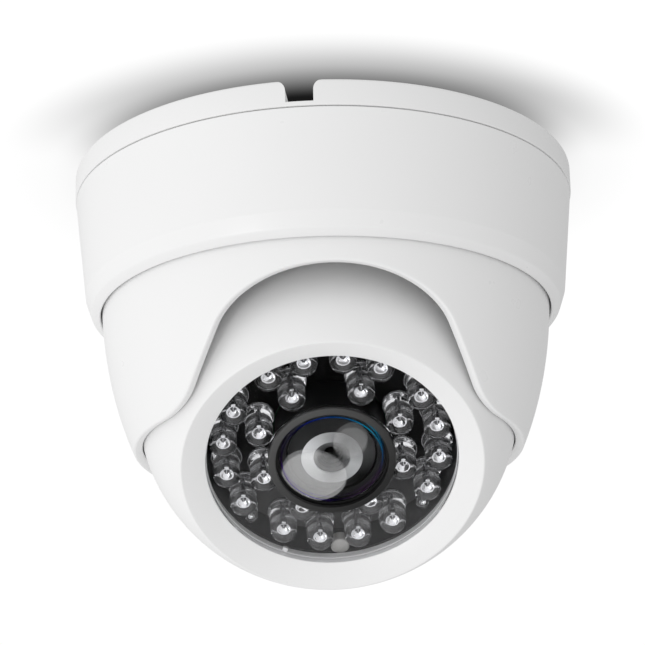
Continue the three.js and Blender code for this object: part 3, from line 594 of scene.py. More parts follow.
def epoxy_material(haze=0.015):
    """Water-clear cast epoxy with a trace of milky haze, for the lamps."""
    n = Nodes("clear_epoxy")
    milk = n.add("ShaderNodeBsdfDiffuse")
    n.join(n.blend(n.noise(900.0), grey(0.75), grey(0.95)), milk.inputs["Color"])
    n.bump(n.noise(1100.0, 2.0), 0.25, 0.00012)
    n.set(Base_Color=(0.98, 0.985, 0.99, 1), Roughness=0.0, IOR=1.5, Transmission_Weight=1.0)
    n.join(n.mix_shaders(haze, n.shader.outputs["BSDF"], milk.outputs["BSDF"]), n.output.inputs["Surface"])
    return n.material


def housing_material():
    """Black anodised aluminium with a painted sheen: its colour is lighter at the upper left and falls off
    to the lower right.
    """
    n = Nodes("lens_housing")
    x, y, _ = n.place_mm()
    # Painted sheen: the base colour runs from dark at the lower right to lighter at the upper left.
    along = n.math("SUBTRACT", y, x)
    painted_sheen = n.ramp(along, -16, 16, 0.0, 1.0)
    n.join(n.blend(painted_sheen, grey(0.006), grey(0.066)), n.shader.inputs["Base Color"])
    n.set(Specular_IOR_Level=0.22)
    n.join(n.spread(n.noise(400.0), 0.38, 0.5), n.shader.inputs["Roughness"])
    n.bump(n.noise(2600.0, 2.0), 0.15, 0.00001)
    return n.material


def baffle_material():
    """The lens stop: a pale middle ring round the pupil on a dark cone, both with painted reflections that
    brighten and dim round the axis, and painted shade deep in the pupil.
    """
    n = Nodes("lens_baffle")
    distance, _ = n.polar()
    # Painted reflections: the ring's and the cone's greys rise and fall round the axis where light would
    # catch them.
    ring = n.colours_by_angle([
        (-180, grey(0.95)), (-140, grey(0.70)), (-90, grey(0.34)), (-50, grey(0.45)), (-20, grey(0.48)),
        (20, grey(0.22)), (60, grey(0.15)), (100, grey(0.36)), (150, grey(0.70)), (180, grey(0.95))])
    cone = n.colours_by_angle([
        (-180, grey(0.02)), (-120, grey(0.06)), (-60, grey(0.01)), (-40, grey(0.0)), (-10, grey(0.05)),
        (8, grey(0.07)), (60, grey(0.015)), (120, grey(0.008)), (150, grey(0.02)), (180, grey(0.02))])
    # Painted shade: the pupil's inside turns darker towards its middle.
    painted_pupil_shade = n.ramp(distance, 0.8, PUPIL_R, 0.0, 0.14)
    in_well = n.math("LESS_THAN", distance, PUPIL_R - 0.02)
    on_cone = n.math("GREATER_THAN", distance, BAFFLE_RING_R)
    n.join(n.mix_colours(in_well, n.mix_colours(on_cone, ring, cone), painted_pupil_shade), n.shader.inputs["Base Color"])
    n.set(Specular_IOR_Level=0.1)
    n.join(n.spread(n.noise(500.0), 0.4, 0.55), n.shader.inputs["Roughness"])
    return n.material


def front_glass_material(low_strength=0.24, high_strength=0.13, line_half_width=0.07):
    """Coated glass: clear, with two painted pale round reflections and a painted coloured reflection of the
    coating as a line near its rim.
    """
    n = Nodes("lens_glass_front")
    n.set(Base_Color=(0.96, 0.97, 0.98, 1), Roughness=0.0, IOR=1.1, Transmission_Weight=1.0)
    # Painted reflections: two pale diffuse discs mixed into the glass, stronger towards the lower left and
    # fainter over the pupil.
    low_painted_reflection = n.math("MULTIPLY", n.disc(LOW_PAINTED_REFLECTION, LOW_PAINTED_REFLECTION_R), low_strength)
    high_painted_reflection = n.math("MULTIPLY", n.disc(HIGH_PAINTED_REFLECTION, HIGH_PAINTED_REFLECTION_R), high_strength)
    x, y, _ = n.place_mm()
    painted_reflection_falloff = n.ramp(n.math("SUBTRACT", n.math("MULTIPLY", x, -0.6), y), -6, 8, 0.75, 1.1)
    distance, _ = n.polar()
    painted_reflection_falloff = n.math("MULTIPLY", painted_reflection_falloff, n.ramp(distance, PUPIL_R - 0.8, PUPIL_R, 0.45, 1.0))
    painted_reflections = n.math("MULTIPLY", n.math("MAXIMUM", low_painted_reflection, high_painted_reflection), painted_reflection_falloff)
    painted_reflection_film = n.add("ShaderNodeBsdfDiffuse")
    n.join(n.blend(n.noise(220.0, 1.0), grey(0.8), grey(0.95)), painted_reflection_film.inputs["Color"])
    glass = n.mix_shaders(painted_reflections, n.shader.outputs["BSDF"], painted_reflection_film.outputs["BSDF"])
    # Painted reflection: the coating's colours, changing round the axis, on a thin diffuse line near the
    # rim.
    painted_coating_line = n.add("ShaderNodeBsdfDiffuse")
    painted_coating_colours = n.colours_by_angle([
        (-180, (0.004, 0.0, 0.01)), (-150, (0.07, 0.01, 0.3)), (-110, (0.05, 0.01, 0.32)),
        (-85, (0.0, 0.0, 0.02)), (-50, (0.05, 0.01, 0.07)), (-20, (0.03, 0.01, 0.05)),
        (15, (0.0, 0.08, 0.2)), (45, (0.0, 0.3, 0.5)), (75, (0.0, 0.07, 0.25)),
        (115, (0.0, 0.01, 0.25)), (135, (0.0, 0.0, 0.04)), (180, (0.004, 0.0, 0.01))])
    n.join(painted_coating_colours, painted_coating_line.inputs["Color"])
    coated = n.mix_shaders(n.band(COATING_R, line_half_width), glass, painted_coating_line.outputs["BSDF"])
    n.join(coated, n.output.inputs["Surface"])
    return n.material


def board_material():
    """Black solder mask with painted light: it turns greyer towards the lower edge of the face."""
    n = Nodes("lamp_board")
    _, y, _ = n.place_mm()
    # Painted light: the board's colour lightens towards the lower edge of the face.
    low = n.ramp(y, -2, -16, 0.0, 1.0, smooth=True)
    n.join(n.blend(low, grey(0.0012), grey(0.13)), n.shader.inputs["Base Color"])
    n.join(n.spread(n.noise(300.0), 0.45, 0.6), n.shader.inputs["Roughness"])
    n.set(Specular_IOR_Level=0.12)
    return n.material


WHITE_SHELL = moulded("white_shell", grey(0.80), 0.3, spread=0.03, tint=0.01)
WHITE_BASE = moulded("white_base", grey(0.78), 0.42, tint=0.01)
BLACK = moulded("black_plastic", (0.02, 0.021, 0.023), 0.5, spread=0.06, tint=0.1)
CHASSIS = moulded("chassis_black", (0.012, 0.012, 0.013), 0.5, spread=0.06, tint=0.1)
LENS_HOUSING = housing_material()
LENS_BLACK = moulded(
    "lens_black", grey(0.006), 0.45, spread=0.05, tint=0.1, grain=1800.0, Specular_IOR_Level=0.15)
BAFFLE = baffle_material()
RUBBER = moulded("rubber", grey(0.018), 0.8, spread=0.08, tint=0.1)
BOARD = board_material()
GREEN = moulded("circuit_board", (0.015, 0.13, 0.055), 0.4, spread=0.06, tint=0.1)
CELL = moulded("cell_cream", (0.42, 0.415, 0.40), 0.5, spread=0.05, tint=0.05)
DIE = moulded("lamp_die", (0.03, 0.03, 0.035), 0.25, spread=0.05, tint=0.1)
STEEL = metal("steel", (0.72, 0.73, 0.75), 0.28)
SILVER = metal("lamp_silver", (0.95, 0.95, 0.96), 0.16, 900.0)
EPOXY = epoxy_material()
GLASS = solid_glass("lens_glass", (0.9, 0.92, 0.96), 1.6)
FRONT_GLASS = front_glass_material()
WINDOW = window_material()

# ---------------------------------------------------------------- base and cover


def base_plate():
    """The plate, its skirt and collar, with the cable channel and the screw holes cut."""
    skirt_bore_r = BASE_R - SKIRT_WALL
    plate = lathe("base_plate_shell", rounded([
        (PLATE_HOLE_R, 0, 0.3), (BASE_R, 0, 0.55), (BASE_R, -SKIRT_DEPTH, 0.2),
        (skirt_bore_r, -SKIRT_DEPTH, 0.2), (skirt_bore_r, -PLATE_T, 0.3), (COLLAR_R, -PLATE_T, 0.3),
        (COLLAR_R, COLLAR_LOW_Z, 0.3), (COLLAR_BORE_R, COLLAR_LOW_Z, 0.3), (COLLAR_BORE_R, -PLATE_T, 0.3),
        (PLATE_HOLE_R, -PLATE_T, 0.2)], 4), WHITE_BASE, segments=192)
    turn = Matrix.Rotation(math.radians(CHANNEL_AZIMUTH), 4, "Z")
    trough = bmesh.new()
    add_block(trough, TROUGH_LOW, TROUGH_HIGH, bevel=0.3, matrix=turn)
    boolean(plate, [to_object("trough", trough, WHITE_BASE)], "UNION")
    cutters = [channel_cutter(turn)]
    cutters += [screw_hole_cutter(angle) for angle in SCREW_HOLE_ANGLES]
    boolean(plate, cutters)
    settle(plate, "base", "white_satin", "base_plate")


def channel_cutter(turn):
    """The cable channel's section: square below, flared where it meets the ceiling face."""
    flare_x = CHANNEL_HALF_W + CHANNEL_FLARE_R
    right = [(CHANNEL_HALF_W, -CHANNEL_DEPTH), (CHANNEL_HALF_W, -CHANNEL_FLARE_R)]
    right += arc((flare_x, -CHANNEL_FLARE_R), CHANNEL_FLARE_R, 180, 90, 6) + [(flare_x, 1.5)]
    outline = [(-x, z) for x, z in reversed(right)] + right
    bm = bmesh.new()
    ends = [[bm.verts.new((x, y, z)) for x, z in outline] for y in (-BASE_R - 1, 0)]
    bm.faces.new(ends[0])
    bm.faces.new(list(reversed(ends[1])))
    for k in range(len(outline)):
        n = (k + 1) % len(outline)
        bm.faces.new((ends[0][k], ends[1][k], ends[1][n], ends[0][n]))
    bmesh.ops.transform(bm, matrix=turn, verts=bm.verts)
    return to_object("channel", bm, WHITE_BASE)


def screw_hole_cutter(angle):
    """A screw's hole with a chamfered mouth on the ceiling face and a wider well under its head."""
    turn = math.radians(angle)
    place = Matrix.Translation((SCREW_CIRCLE_R * math.cos(turn), SCREW_CIRCLE_R * math.sin(turn), 0))
    bm = bmesh.new()
    add_lathe(bm, [(0, 1), (SCREW_MOUTH_R, 1), (SCREW_MOUTH_R, 0.2), (SCREW_HOLE_R, -0.2),
                   (SCREW_HOLE_R, SCREW_SEAT_Z), (SCREW_WELL_R, SCREW_SEAT_Z), (SCREW_WELL_R, -4), (0, -4)],
              40, closed=False, matrix=place)
    return to_object(f"screw_hole_{angle}", bm, WHITE_BASE)


def cover_ring():
    """A nearly upright wall with a rounded lower corner that turns in to the shroud."""
    top = COVER_TOP_Z + COVER_TOP_GAP
    profile = rounded([
        (COVER_R - COVER_TOP_WALL, top, 0), (COVER_R, top, 0.2), (*COVER_BEND, 0.9), (*COVER_CORNER, 0.9),
        (COVER_MOUTH_R, COVER_MOUTH_Z, 0.25), (COVER_MOUTH_R, COVER_LEDGE_Z, 0),
        (COVER_BORE_R, COVER_LEDGE_Z, 0), (COVER_BORE_R, COVER_BORE_TOP_Z, 0), (*COVER_INSIDE, 0)])
    ring = lathe("cover_ring_shell", profile, WHITE_SHELL, segments=224)
    settle(ring, "cover", "white_shell", "cover_ring")


# ---------------------------------------------------------------- shroud


def shroud_radius(z):
    return SHROUD_A * math.sqrt(1 - ((z - SHROUD_Z0) / SHROUD_B) ** 2)


def shroud_point(azimuth, z, depth=0.0):
    """A point of the shroud's outer face, or depth under it. Azimuth 0 is the front, -Y."""
    r = shroud_radius(z)
    slope = -SHROUD_A ** 2 * (z - SHROUD_Z0) / (SHROUD_B ** 2 * r)
    normal = Vector((1, -slope)).normalized()
    r, z = r - depth * normal[0], z - depth * normal[1]
    return Vector((r * math.sin(azimuth), -r * math.cos(azimuth), z))


def shroud_normal(azimuth, z):
    return (shroud_point(azimuth, z) - shroud_point(azimuth, z, 1)).normalized()


def arch_half(level):
    """Right half of the arch's outline as (x, z): an elliptic crown, a splayed side and a rounded foot."""
    crown_end = math.atan(ARCH_HALF_W / (ARCH_RISE * math.tan(ARCH_SPLAY)))
    crown_steps = 30
    crown = []
    for i in range(crown_steps + 1):
        a = crown_end * i / crown_steps
        crown.append((ARCH_HALF_W * math.sin(a), ARCH_APEX_Z - ARCH_RISE * (1 - math.cos(a))))
    x, z = crown[-1]
    corner_x = x + (z - level) * math.tan(ARCH_SPLAY)
    reach = ARCH_FOOT_R * math.tan((math.pi / 2 - ARCH_SPLAY) / 2)
    foot = arc((corner_x + reach, level + ARCH_FOOT_R), ARCH_FOOT_R, 180 + math.degrees(ARCH_SPLAY), 270, 14)
    along_x, along_z = foot[0][0] - x, foot[0][1] - z
    side_steps = 12
    side = [(x + along_x * i / side_steps, z + along_z * i / side_steps) for i in range(1, side_steps)]
    return crown + side + foot


def shroud_edge():
    """(azimuth, z) round the whole lower edge, where the lip's rounding starts, from the apex round."""
    level = SHROUD_LEVEL_Z + SHROUD_OUTER_FILLET
    half = [(math.asin(x / shroud_radius(z)), z) for x, z in arch_half(level)]
    start = half[-1][0]
    steps = 56
    half += [(start + (math.pi - start) * i / steps, level) for i in range(1, steps + 1)]
    return half + [(2 * math.pi - a, z) for a, z in reversed(half[1:-1])]


def lip_outline():
    """(outward, depth) over the lip: outer fillet, flat edge face and inner fillet."""
    outer_r, inner_r, thick = SHROUD_OUTER_FILLET, SHROUD_INNER_FILLET, SHROUD_EDGE_T
    outer = arc((0, outer_r), outer_r, -90, 0, 5)[1:]
    face = [(outer_r, depth) for depth in (thick * 0.4, thick * 0.6)]
    return outer + face + arc((outer_r - inner_r, thick - inner_r), inner_r, 0, 90, 4)


def shroud():
    """A turned skin between its top ring and its lower edge, with a rounded lip all the way round."""
    edge = shroud_edge()
    lip_profile = lip_outline()
    count = len(edge)
    rows, top = 26, SHROUD_TOP_Z
    points = [shroud_point(a, z) for a, z in edge]
    columns = []
    for i, (azimuth, z_edge) in enumerate(edge):
        tangent = (points[(i + 1) % count] - points[i - 1]).normalized()
        normal = shroud_normal(azimuth, z_edge)
        outward = tangent.cross(normal)
        if outward.z > 0:
            outward = -outward
        column = [(azimuth, top + (z_edge - top) * k / rows) for k in range(rows + 1)]
        skin = [shroud_point(a, z) for a, z in column]
        lip = [points[i] + outward * out - normal * depth for out, depth in lip_profile]
        inside = [shroud_point(a, z, SHROUD_WALL + (SHROUD_EDGE_T - SHROUD_WALL) * k / rows)
                  for k, (a, z) in reversed(list(enumerate(column)))]
        columns.append(skin + lip + inside)
    bm = bmesh.new()
    rings = [[bm.verts.new(p) for p in column] for column in columns]
    length = len(rings[0])
    for i in range(count):
        one, two = rings[i], rings[(i + 1) % count]
        for k in range(length):
            n = (k + 1) % length
            bm.faces.new((one[k], two[k], two[n], one[n]))
    shell = to_object("shroud_shell", bm, WHITE_SHELL, sharp=60)
    settle(shell, "shroud_unit", "white_shell", "shroud")


# ---------------------------------------------------------------- ball


def ball_front():
    """The front of the ball: a bezel cone round the window's bore, then the sphere back to the seam."""
    bezel_h = math.sqrt(BALL_R ** 2 - BEZEL_OUTER_R ** 2)
    towards_sphere = (BEZEL_OUTER_R + 1.2, bezel_h - 1.7, 0)
    cone = rounded([
        (BEZEL_INNER_R, BEZEL_LIP_H, 0.2), (BEZEL_INNER_R, BEZEL_INNER_H, 0.25),
        (BEZEL_OUTER_R, bezel_h, 0.35), towards_sphere], 5)[:-1]
    outer = sphere_arc(BALL_R, bezel_h - 0.5, SEAM_H + SEAM_CHAMFER_H, 60)
    seam = [(outer[-1][0] - SEAM_CHAMFER_R, SEAM_H), (SEAM_INNER_R, SEAM_H)]
    inner = sphere_arc(BALL_R - BALL_WALL, SEAM_H + SEAM_CHAMFER_H, FACE_BORE_H, 24)
    profile = cone + outer + seam + inner + [(FACE_BORE_R, BEZEL_LIP_H)]
    shell = lathe("ball_front", profile, WHITE_SHELL, BALL, 224)
    settle(place_in_mesh(shell), "eyeball", "white_shell", "ball_front_shell")


def ball_rear():
    """The back of the ball, with a spigot in the front shell, the bush's hole and three screw recesses."""
    top = SEAM_H - SEAM_GAP
    inner_r = BALL_R - BALL_WALL
    outer = sphere_arc(BALL_R, top - SEAM_CHAMFER_H, -math.sqrt(BALL_R ** 2 - BUSH_HOLE_R ** 2) + 0.02, 60)
    inner = sphere_arc(inner_r, -math.sqrt(inner_r ** 2 - BUSH_HOLE_R ** 2), top - 2, 24)
    spigot_h = top + SPIGOT_RISE
    spigot = [(SPIGOT_BORE_R, top), (SPIGOT_BORE_R, spigot_h), (SPIGOT_R, spigot_h), (SPIGOT_R, top)]
    profile = outer + inner + spigot + [(outer[0][0] - SEAM_CHAMFER_R, top)]
    shell = lathe("ball_rear", profile, WHITE_SHELL, BALL, 224)
    cutters = []
    for i in range(3):
        bm = bmesh.new()
        add_lathe(bm, [(0, -45), (RECESS_R, -45), (RECESS_R, RECESS_FLOOR_H), (0, RECESS_FLOOR_H)], 40,
                  closed=False, matrix=Matrix.Translation((*face_place(f"shell_screw_{i + 1}"), 0)))
        cutters.append(to_object(f"screw_recess_{i}", bm, WHITE_SHELL, BALL))
    boolean(shell, cutters)
    settle(place_in_mesh(shell), "eyeball", "white_shell", "ball_rear_shell")


def window():
    """A flat ring of clear sheet in the bezel's bore; the lens stands through its hole."""
    front = WINDOW_BACK_H + WINDOW_T
    edge_r = BEZEL_INNER_R - WINDOW_GAP
    ring = lathe("window_disc", rounded([
        (WINDOW_HOLE_R, WINDOW_BACK_H, 0.1), (edge_r, WINDOW_BACK_H, 0.05), (edge_r, front, 0.05),
        (WINDOW_HOLE_R, front, 0.15)], 3), WINDOW, BALL)
    settle(ring, "eyeball", "clear_window", "window")


def window_gasket():
    """A thin white seal round the wall under the window, with one small tab."""
    bm = bmesh.new()
    add_lathe(bm, rounded([
        (SEAL_BORE_R, SEAL_BACK_H, 0.05), (SEAL_R, SEAL_BACK_H, 0.02), (SEAL_R, SEAL_FRONT_H, 0.02),
        (SEAL_BORE_R, SEAL_FRONT_H, 0.05)], 2), 160)
    turn = Matrix.Rotation(math.radians(TAB_ANGLE), 4, "Z")
    add_block(bm, TAB_LOW, TAB_HIGH, bevel=0.1, matrix=turn)
    settle(to_object("window_seal", bm, WHITE_BASE, BALL), "eyeball", "white_satin", "window_gasket")


def chassis():
    """A black ring behind the face, with an inward ledge at its back for the lamp board."""
    ring = lathe("lamp_chassis_ring", rounded([
        (CHASSIS_BORE_R, CHASSIS_FRONT_H, 0.2), (CHASSIS_R, CHASSIS_FRONT_H, 0.2),
        (CHASSIS_R, CHASSIS_BACK_H, 0.2), (CHASSIS_LEDGE_R, CHASSIS_BACK_H, 0.2),
        (CHASSIS_LEDGE_R, CHASSIS_LEDGE_H, 0.2), (CHASSIS_BORE_R, CHASSIS_LEDGE_H, 0.1)], 3), CHASSIS, BALL)
    settle(ring, "eyeball", "black_plastic", "lamp_chassis")


def lamp_board():
    board = lathe("lamp_board_disc", rounded([
        (BOARD_HOLE_R, BOARD_BACK_H, 0.05), (BOARD_R, BOARD_BACK_H, 0.05), (BOARD_R, BOARD_FACE_H, 0.05),
        (BOARD_HOLE_R, BOARD_FACE_H, 0.05)], 2), BOARD, BALL)
    settle(board, "eyeball", "lamp_board", "lamp_board")


# ---------------------------------------------------------------- lamps


def add_strut(bm, start, end, thickness, material_index):
    """A thin square bar between two points."""
    start, end = Vector(start), Vector(end)
    span = end - start
    turn = span.to_track_quat("Z", "Y").to_matrix().to_4x4()
    half = thickness / 2
    add_block(bm, (-half, -half, -span.length / 2), (half, half, span.length / 2), material_index, 0,
              Matrix.Translation((start + end) / 2) @ turn)


def lamp_mesh(radius, flange_r, length, name):
    """A clear round-nosed lamp with its cup, chip, legs and bond wire cast inside, foot at the origin.

    Four thin bright rings stand for the light that gathers along the inside of its wall.
    """
    nose = length - radius
    cup_h = nose - radius * 0.06
    k = radius / LAMP_R
    bm = bmesh.new()
    body = [(0, 0), (flange_r - 0.12, 0), (flange_r, 0.12), (flange_r, 0.86), (flange_r - 0.12, 1.0),
            (radius + 0.08, 1.02), (radius, 1.12), (radius, nose)]
    body += arc((0, nose), radius, 6, 84, 14) + [(0, length)]
    add_lathe(bm, body, 40, closed=False)
    cup = [(0, -1.1), (0.45, -1.1), (0.62, -0.85), (0.84, 0.0), (0.72, 0.0), (0.36, -0.42), (0, -0.44)]
    add_lathe(bm, [(r * k, cup_h + h * k) for r, h in cup], 14, closed=False, material_index=1)
    add_block(bm, (-0.17 * k, -0.17 * k, cup_h - 0.42 * k), (0.17 * k, 0.17 * k, cup_h - 0.24 * k), 2, 0.02)
    add_block(bm, (-0.22 * k, -0.42 * k, 0.2), (0.22 * k, -0.05 * k, cup_h - 1.0 * k), 1, 0.04)
    add_block(bm, (-0.2 * k, 0.95 * k, 0.2), (0.2 * k, 1.3 * k, cup_h - 0.9 * k), 1, 0.04)
    add_block(bm, (-0.34 * k, 0.92 * k, cup_h - 0.9 * k), (0.34 * k, 1.38 * k, cup_h + 0.15 * k), 1, 0.08)
    loop = (0, 0.5 * k, cup_h + 0.35 * k)
    add_strut(bm, (0, 0, cup_h - 0.24 * k), loop, 0.06, 1)
    add_strut(bm, loop, (0, 1.1 * k, cup_h + 0.1 * k), 0.06, 1)
    bright_rings = [
        (flange_r - 0.16, 0.3), (flange_r - 0.16, 0.72), (radius - 0.14, 1.5), (radius - 0.14, nose - 0.3)]
    for ring_r, height in bright_rings:
        add_lathe(bm, arc((ring_r, height), 0.05, 0, 315, 7), 40, material_index=1)
    return to_object(name, bm, [EPOXY, SILVER, DIE], sharp=50)


def stand_on_board(obj, node):
    """Puts a lamp upright on the lamp board where its node is."""
    x, y = face_place(node)
    obj.matrix_world = BALL @ Matrix.Translation((x * MM, y * MM, LAMP_FOOT_H * MM))
    settle(obj, "eyeball", "clear_epoxy", node)


def lamps():
    """Copies of one lamp, which share its mesh."""
    model = lamp_mesh(LAMP_R, LAMP_FLANGE_R, LAMP_LENGTH, "lamp_model")
    mesh = model.data
    bpy.data.objects.remove(model)
    for i in range(LAMP_COUNT):
        node = f"lamp_{i + 1:02d}"
        obj = bpy.data.objects.new(f"infrared_{node}", mesh)
        bpy.context.scene.collection.objects.link(obj)
        stand_on_board(obj, node)


def light_sensors():
    for side in ("left", "right"):
        node = f"light_sensor_{side}"
        half = half_width(node)
        stand_on_board(lamp_mesh(half, half, SENSOR_LENGTH, f"clear_{node}"), node)


def photo_cell():
    """A cream cell with a rounded front edge, in its socket in the chassis wall."""
    half = half_width("photo_cell")
    x, y = face_place("photo_cell")
    round_h = CELL_SIDE_H - 0.05
    profile = [(0, CELL_BACK_H), (half, CELL_BACK_H), (half, CELL_SIDE_H)]
    profile += arc((half - CELL_ROUND_R, round_h), CELL_ROUND_R, 0, 90, 5) + [(0, CELL_FRONT_H)]
    place = BALL @ Matrix.Translation((x * MM, y * MM, 0))
    cell = lathe("white_cell", profile, CELL, place, 40, closed=False)
    settle(cell, "eyeball", "cell_cream", "photo_cell")


# ---------------------------------------------------------------- lens


def cap_arc(edge_r, rise, edge_h, steps):
    """(radius, height) points of a shallow cap, from its middle to its edge."""
    radius = (edge_r ** 2 + rise ** 2) / (2 * rise)
    turns = [math.asin(edge_r / radius) * k / steps for k in range(steps + 1)]
    return [(radius * math.sin(t), edge_h + rise - radius * (1 - math.cos(t))) for t in turns]


def lens():
    """The front ring, the barrel, the domed front glass and the stepped stop behind it."""
    back, front = FRONT_RING_H
    ring = lathe("lens_front_ring_turned", rounded([
        (FRONT_RING_BORE_R, back, 0.05), (LENS_HEAD_R, back, 0.12), (LENS_HEAD_R, front, 0.3),
        (FRONT_RING_BORE_R, front, 0.12)], 4), LENS_HOUSING, BALL)
    settle(ring, "lens", "lens_housing", "lens_front_ring")
    barrel = lathe("lens_barrel_turned", rounded([
        (THREAD_BORE_R, THREAD_BACK_H, 0.1), (LENS_THREAD_R, THREAD_BACK_H, 0.2), (LENS_THREAD_R, 8.3, 0.1),
        (LENS_BODY_R, 8.9, 0.2), (LENS_BODY_R, HEAD_BACK_H, 0.1), (LENS_HEAD_R, HEAD_BACK_H, 0.2),
        (LENS_HEAD_R, HEAD_FRONT_H, 0.2), (GLASS_SEAT_R, HEAD_FRONT_H, 0.1), (GLASS_SEAT_R, 17.6, 0.05),
        (LENS_BORE_R, 17.6, 0.1), (LENS_BORE_R, 10.5, 0.1), (THREAD_BORE_R, 10.5, 0.1)], 3),
        LENS_BLACK, BALL, 120)
    settle(barrel, "lens", "lens_housing", "lens_barrel")
    hollow = cap_arc(HOLLOW_R, HOLLOW_RISE, GLASS_BACK_H, 16)
    rim = [(GLASS_R, GLASS_BACK_H), (GLASS_R, DOME_EDGE_H - 0.15)]
    dome = cap_arc(DOME_R, DOME_RISE, DOME_EDGE_H, 24)[::-1]
    glass = lathe("lens_front_element", hollow + rim + dome, FRONT_GLASS, BALL, 120, closed=False)
    settle(glass, "lens", "lens_glass", "lens_front_glass")
    edge_h = BAFFLE_RING_H - 0.05
    baffle = lathe("lens_baffle_cone", [
        (BAFFLE_R, 10.8), (BAFFLE_R, 17.4), (BAFFLE_RING_R, edge_h), (BAFFLE_RING_R - 0.05, BAFFLE_RING_H),
        (PUPIL_R + 0.05, BAFFLE_RING_H), (PUPIL_R, edge_h), (PUPIL_R - 0.05, 18.3), (2.7, 18.2),
        (2.65, 17.9), (2.1, 17.8), (2.05, 17.5), (1.5, 17.4), (1.45, 15.5), (THREAD_BORE_R, 10.8)],
        BAFFLE, BALL, 120)
    settle(baffle, "lens", "lens_baffle", "lens_baffle")


# ---------------------------------------------------------------- CAD nodes that keep their shape

KEPT = {
    "friction_ring": RUBBER, "pivot_keeper_left": BLACK, "pivot_keeper_right": BLACK, "tilt_hoop": STEEL,
    "tilt_pin_left": STEEL, "tilt_pin_right": STEEL, "roll_bush": BLACK, "cable_sleeve": RUBBER,
    "shell_screw_1": STEEL, "shell_screw_2": STEEL, "shell_screw_3": STEEL, "lamp_plug": WHITE_BASE,
    "board_spacer_left": WHITE_BASE, "board_spacer_right": WHITE_BASE, "circuit_board": GREEN,
    "image_sensor": BLACK, "lens_holder": BLACK, "lens_rear_glass": GLASS,
}


def dress_kept_nodes():
    for name, material in KEPT.items():
        mesh = frame["nodes"][name].data
        mesh.materials.clear()
        mesh.materials.append(material)


# ---------------------------------------------------------------- stage, light and camera


CEILING_GAP = 0.0004
CEILING_REACH = 4.0
SHADOW_START = BASE_R - 1
SHADOW_END = BASE_R + 20
SHADOW_DEPTH = 0.64
# Painted shade on the ceiling over the base, seen through the cable channel.
CHANNEL_PAINTED_SHADE = 0.02
OPEN_LEVEL = 1.02
TOWARDS_LIGHT = Vector((-0.8, -0.45, -0.25)).normalized()
LIGHT_SIDE = 1.14
DARK_SIDE = 0.52
KEY_PLACE = Vector((-0.9, -1.1, -0.7))
KEY_TARGET = Vector((0, 0, -0.04))
KEY_SIZE = 0.4
KEY_WATTS = 2.5


def ceiling_material():
    """Glowing white from below with a painted soft contact shadow and painted shade over the base, and clear
    from above.
    """
    n = Nodes("ceiling")
    x, y, _ = n.place_mm()
    distance = n.length(x, y)
    # Painted contact shadow round the base, deepest towards -Y and towards +X.
    near = n.ramp(distance, SHADOW_START, SHADOW_END, 1.0, 0.0, smooth=True)
    side = n.ramp(x, -BASE_R, BASE_R, 0.8, 1.08)
    behind = n.ramp(y, -0.95 * BASE_R, -0.2 * BASE_R, 1.0, 0.1, smooth=True)
    depth = n.math("MULTIPLY", n.math("MULTIPLY", near, side), n.math("MULTIPLY", behind, SHADOW_DEPTH))
    # Painted shade over the base and just round its edge, lifted towards +Y.
    painted_base_shade = n.ramp(distance, BASE_R - 9, BASE_R + 5.5, CHANNEL_PAINTED_SHADE, 1.0, smooth=True)
    clear_side = n.ramp(y, -0.75 * BASE_R, -0.05 * BASE_R, 0.0, 0.9, smooth=True)
    painted_base_shade = n.math("ADD", painted_base_shade, n.math("MULTIPLY", n.math("SUBTRACT", 1.0, painted_base_shade), clear_side))
    glow = n.add("ShaderNodeEmission")
    n.join(n.math("MULTIPLY", n.math("SUBTRACT", OPEN_LEVEL, depth), painted_base_shade), glow.inputs["Strength"])
    face = n.add("ShaderNodeNewGeometry")
    through = n.add("ShaderNodeBsdfTransparent")
    both = n.mix_shaders(face.outputs["Backfacing"], glow.outputs["Emission"], through.outputs["BSDF"])
    n.join(both, n.output.inputs["Surface"])
    return n.material


def ceiling():
    """A white ceiling over the mounting face, seen only from below."""
    bm = bmesh.new()
    corners = ((-1, -1), (-1, 1), (1, 1), (1, -1))
    bm.faces.new([bm.verts.new((x * CEILING_REACH, y * CEILING_REACH, 0)) for x, y in corners])
    mesh = bpy.data.meshes.new("ceiling")
    bm.to_mesh(mesh)
    bm.free()
    mesh.materials.append(ceiling_material())
    plane = bpy.data.objects.new("ceiling", mesh)
    plane.location.z = CAD_BOX[1].z + CEILING_GAP
    bpy.context.scene.collection.objects.link(plane)
    plane.visible_shadow = False
    plane.visible_diffuse = False
    plane.visible_glossy = False


def key_light():
    """A soft round light from the left, the front and below."""
    data = bpy.data.lights.new("key", "AREA")
    data.shape = "DISK"
    data.size = KEY_SIZE
    data.energy = KEY_WATTS
    lamp = bpy.data.objects.new("key", data)
    lamp.location = KEY_PLACE
    lamp.rotation_mode = "QUATERNION"
    lamp.rotation_quaternion = (KEY_TARGET - KEY_PLACE).to_track_quat("-Z", "Y")
    bpy.context.scene.collection.objects.link(lamp)


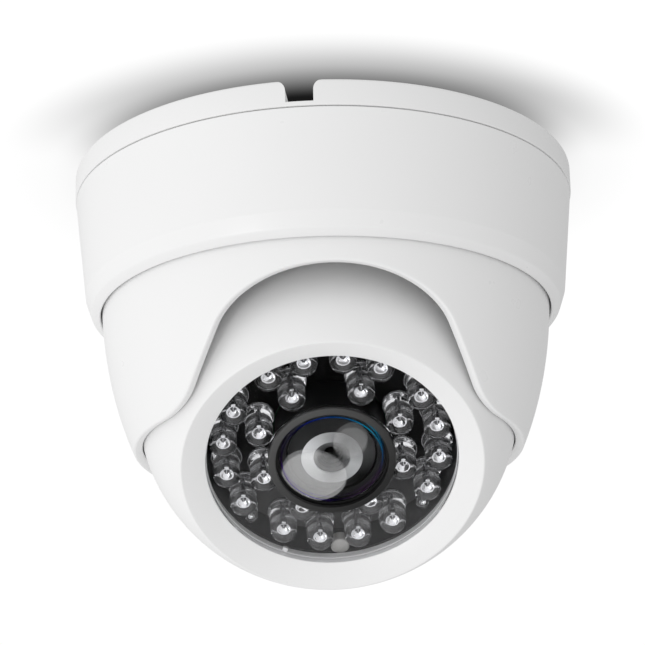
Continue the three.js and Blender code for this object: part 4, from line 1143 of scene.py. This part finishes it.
def world():
    """Even pale surroundings, brighter from the left, the front and below."""
    scene = bpy.context.scene
    scene.world = bpy.data.worlds.new("studio")
    scene.world.use_nodes = True
    tree = scene.world.node_tree
    background = tree.nodes["Background"]
    place = tree.nodes.new("ShaderNodeTexCoord")
    facing = tree.nodes.new("ShaderNodeVectorMath")
    facing.operation = "DOT_PRODUCT"
    facing.inputs[1].default_value = TOWARDS_LIGHT
    ramp = tree.nodes.new("ShaderNodeMapRange")
    ramp.inputs["From Min"].default_value = -1.0
    ramp.inputs["From Max"].default_value = 1.0
    ramp.inputs["To Min"].default_value = DARK_SIDE
    ramp.inputs["To Max"].default_value = LIGHT_SIDE
    tree.links.new(place.outputs["Generated"], facing.inputs[0])
    tree.links.new(facing.outputs["Value"], ramp.inputs["Value"])
    tree.links.new(ramp.outputs["Result"], background.inputs["Strength"])
    background.inputs["Color"].default_value = (1, 1, 1, 1)


CAMERA_DISTANCE = 0.55
CAMERA_BELOW = math.radians(19.65)
CAMERA_TURN = math.radians(2.36)
CAMERA_ROLL = math.radians(-1.37)
CAMERA_TARGET = Vector((0, 0, -0.030))
CAMERA_LENS = 163.7
CAMERA_SHIFT = (-0.0059, 0.0098)


def camera():
    data = bpy.data.cameras.new("camera")
    data.sensor_width = 36.0
    data.lens = CAMERA_LENS
    data.shift_x, data.shift_y = CAMERA_SHIFT
    data.clip_start = 0.01
    data.clip_end = 20
    back = Vector((-math.sin(CAMERA_TURN) * math.cos(CAMERA_BELOW),
                   -math.cos(CAMERA_TURN) * math.cos(CAMERA_BELOW), -math.sin(CAMERA_BELOW)))
    right = (-back).cross(Vector((0, 0, 1))).normalized()
    up = right.cross(-back)
    across = right * math.cos(CAMERA_ROLL) + up * math.sin(CAMERA_ROLL)
    upward = up * math.cos(CAMERA_ROLL) - right * math.sin(CAMERA_ROLL)
    obj = bpy.data.objects.new("camera", data)
    axes = Matrix((across, upward, back)).transposed().to_4x4()
    obj.matrix_world = Matrix.Translation(CAMERA_TARGET + back * CAMERA_DISTANCE) @ axes
    bpy.context.scene.collection.objects.link(obj)
    bpy.context.scene.camera = obj


def colour_management():
    scene = bpy.context.scene
    scene.view_settings.view_transform = "Standard"
    scene.view_settings.look = "None"
    scene.view_settings.exposure = 0.0


base_plate()
cover_ring()
shroud()
ball_front()
ball_rear()
window()
window_gasket()
chassis()
lamp_board()
lamps()
light_sensors()
photo_cell()
lens()
dress_kept_nodes()
ceiling()
world()
key_light()
camera()
colour_management()
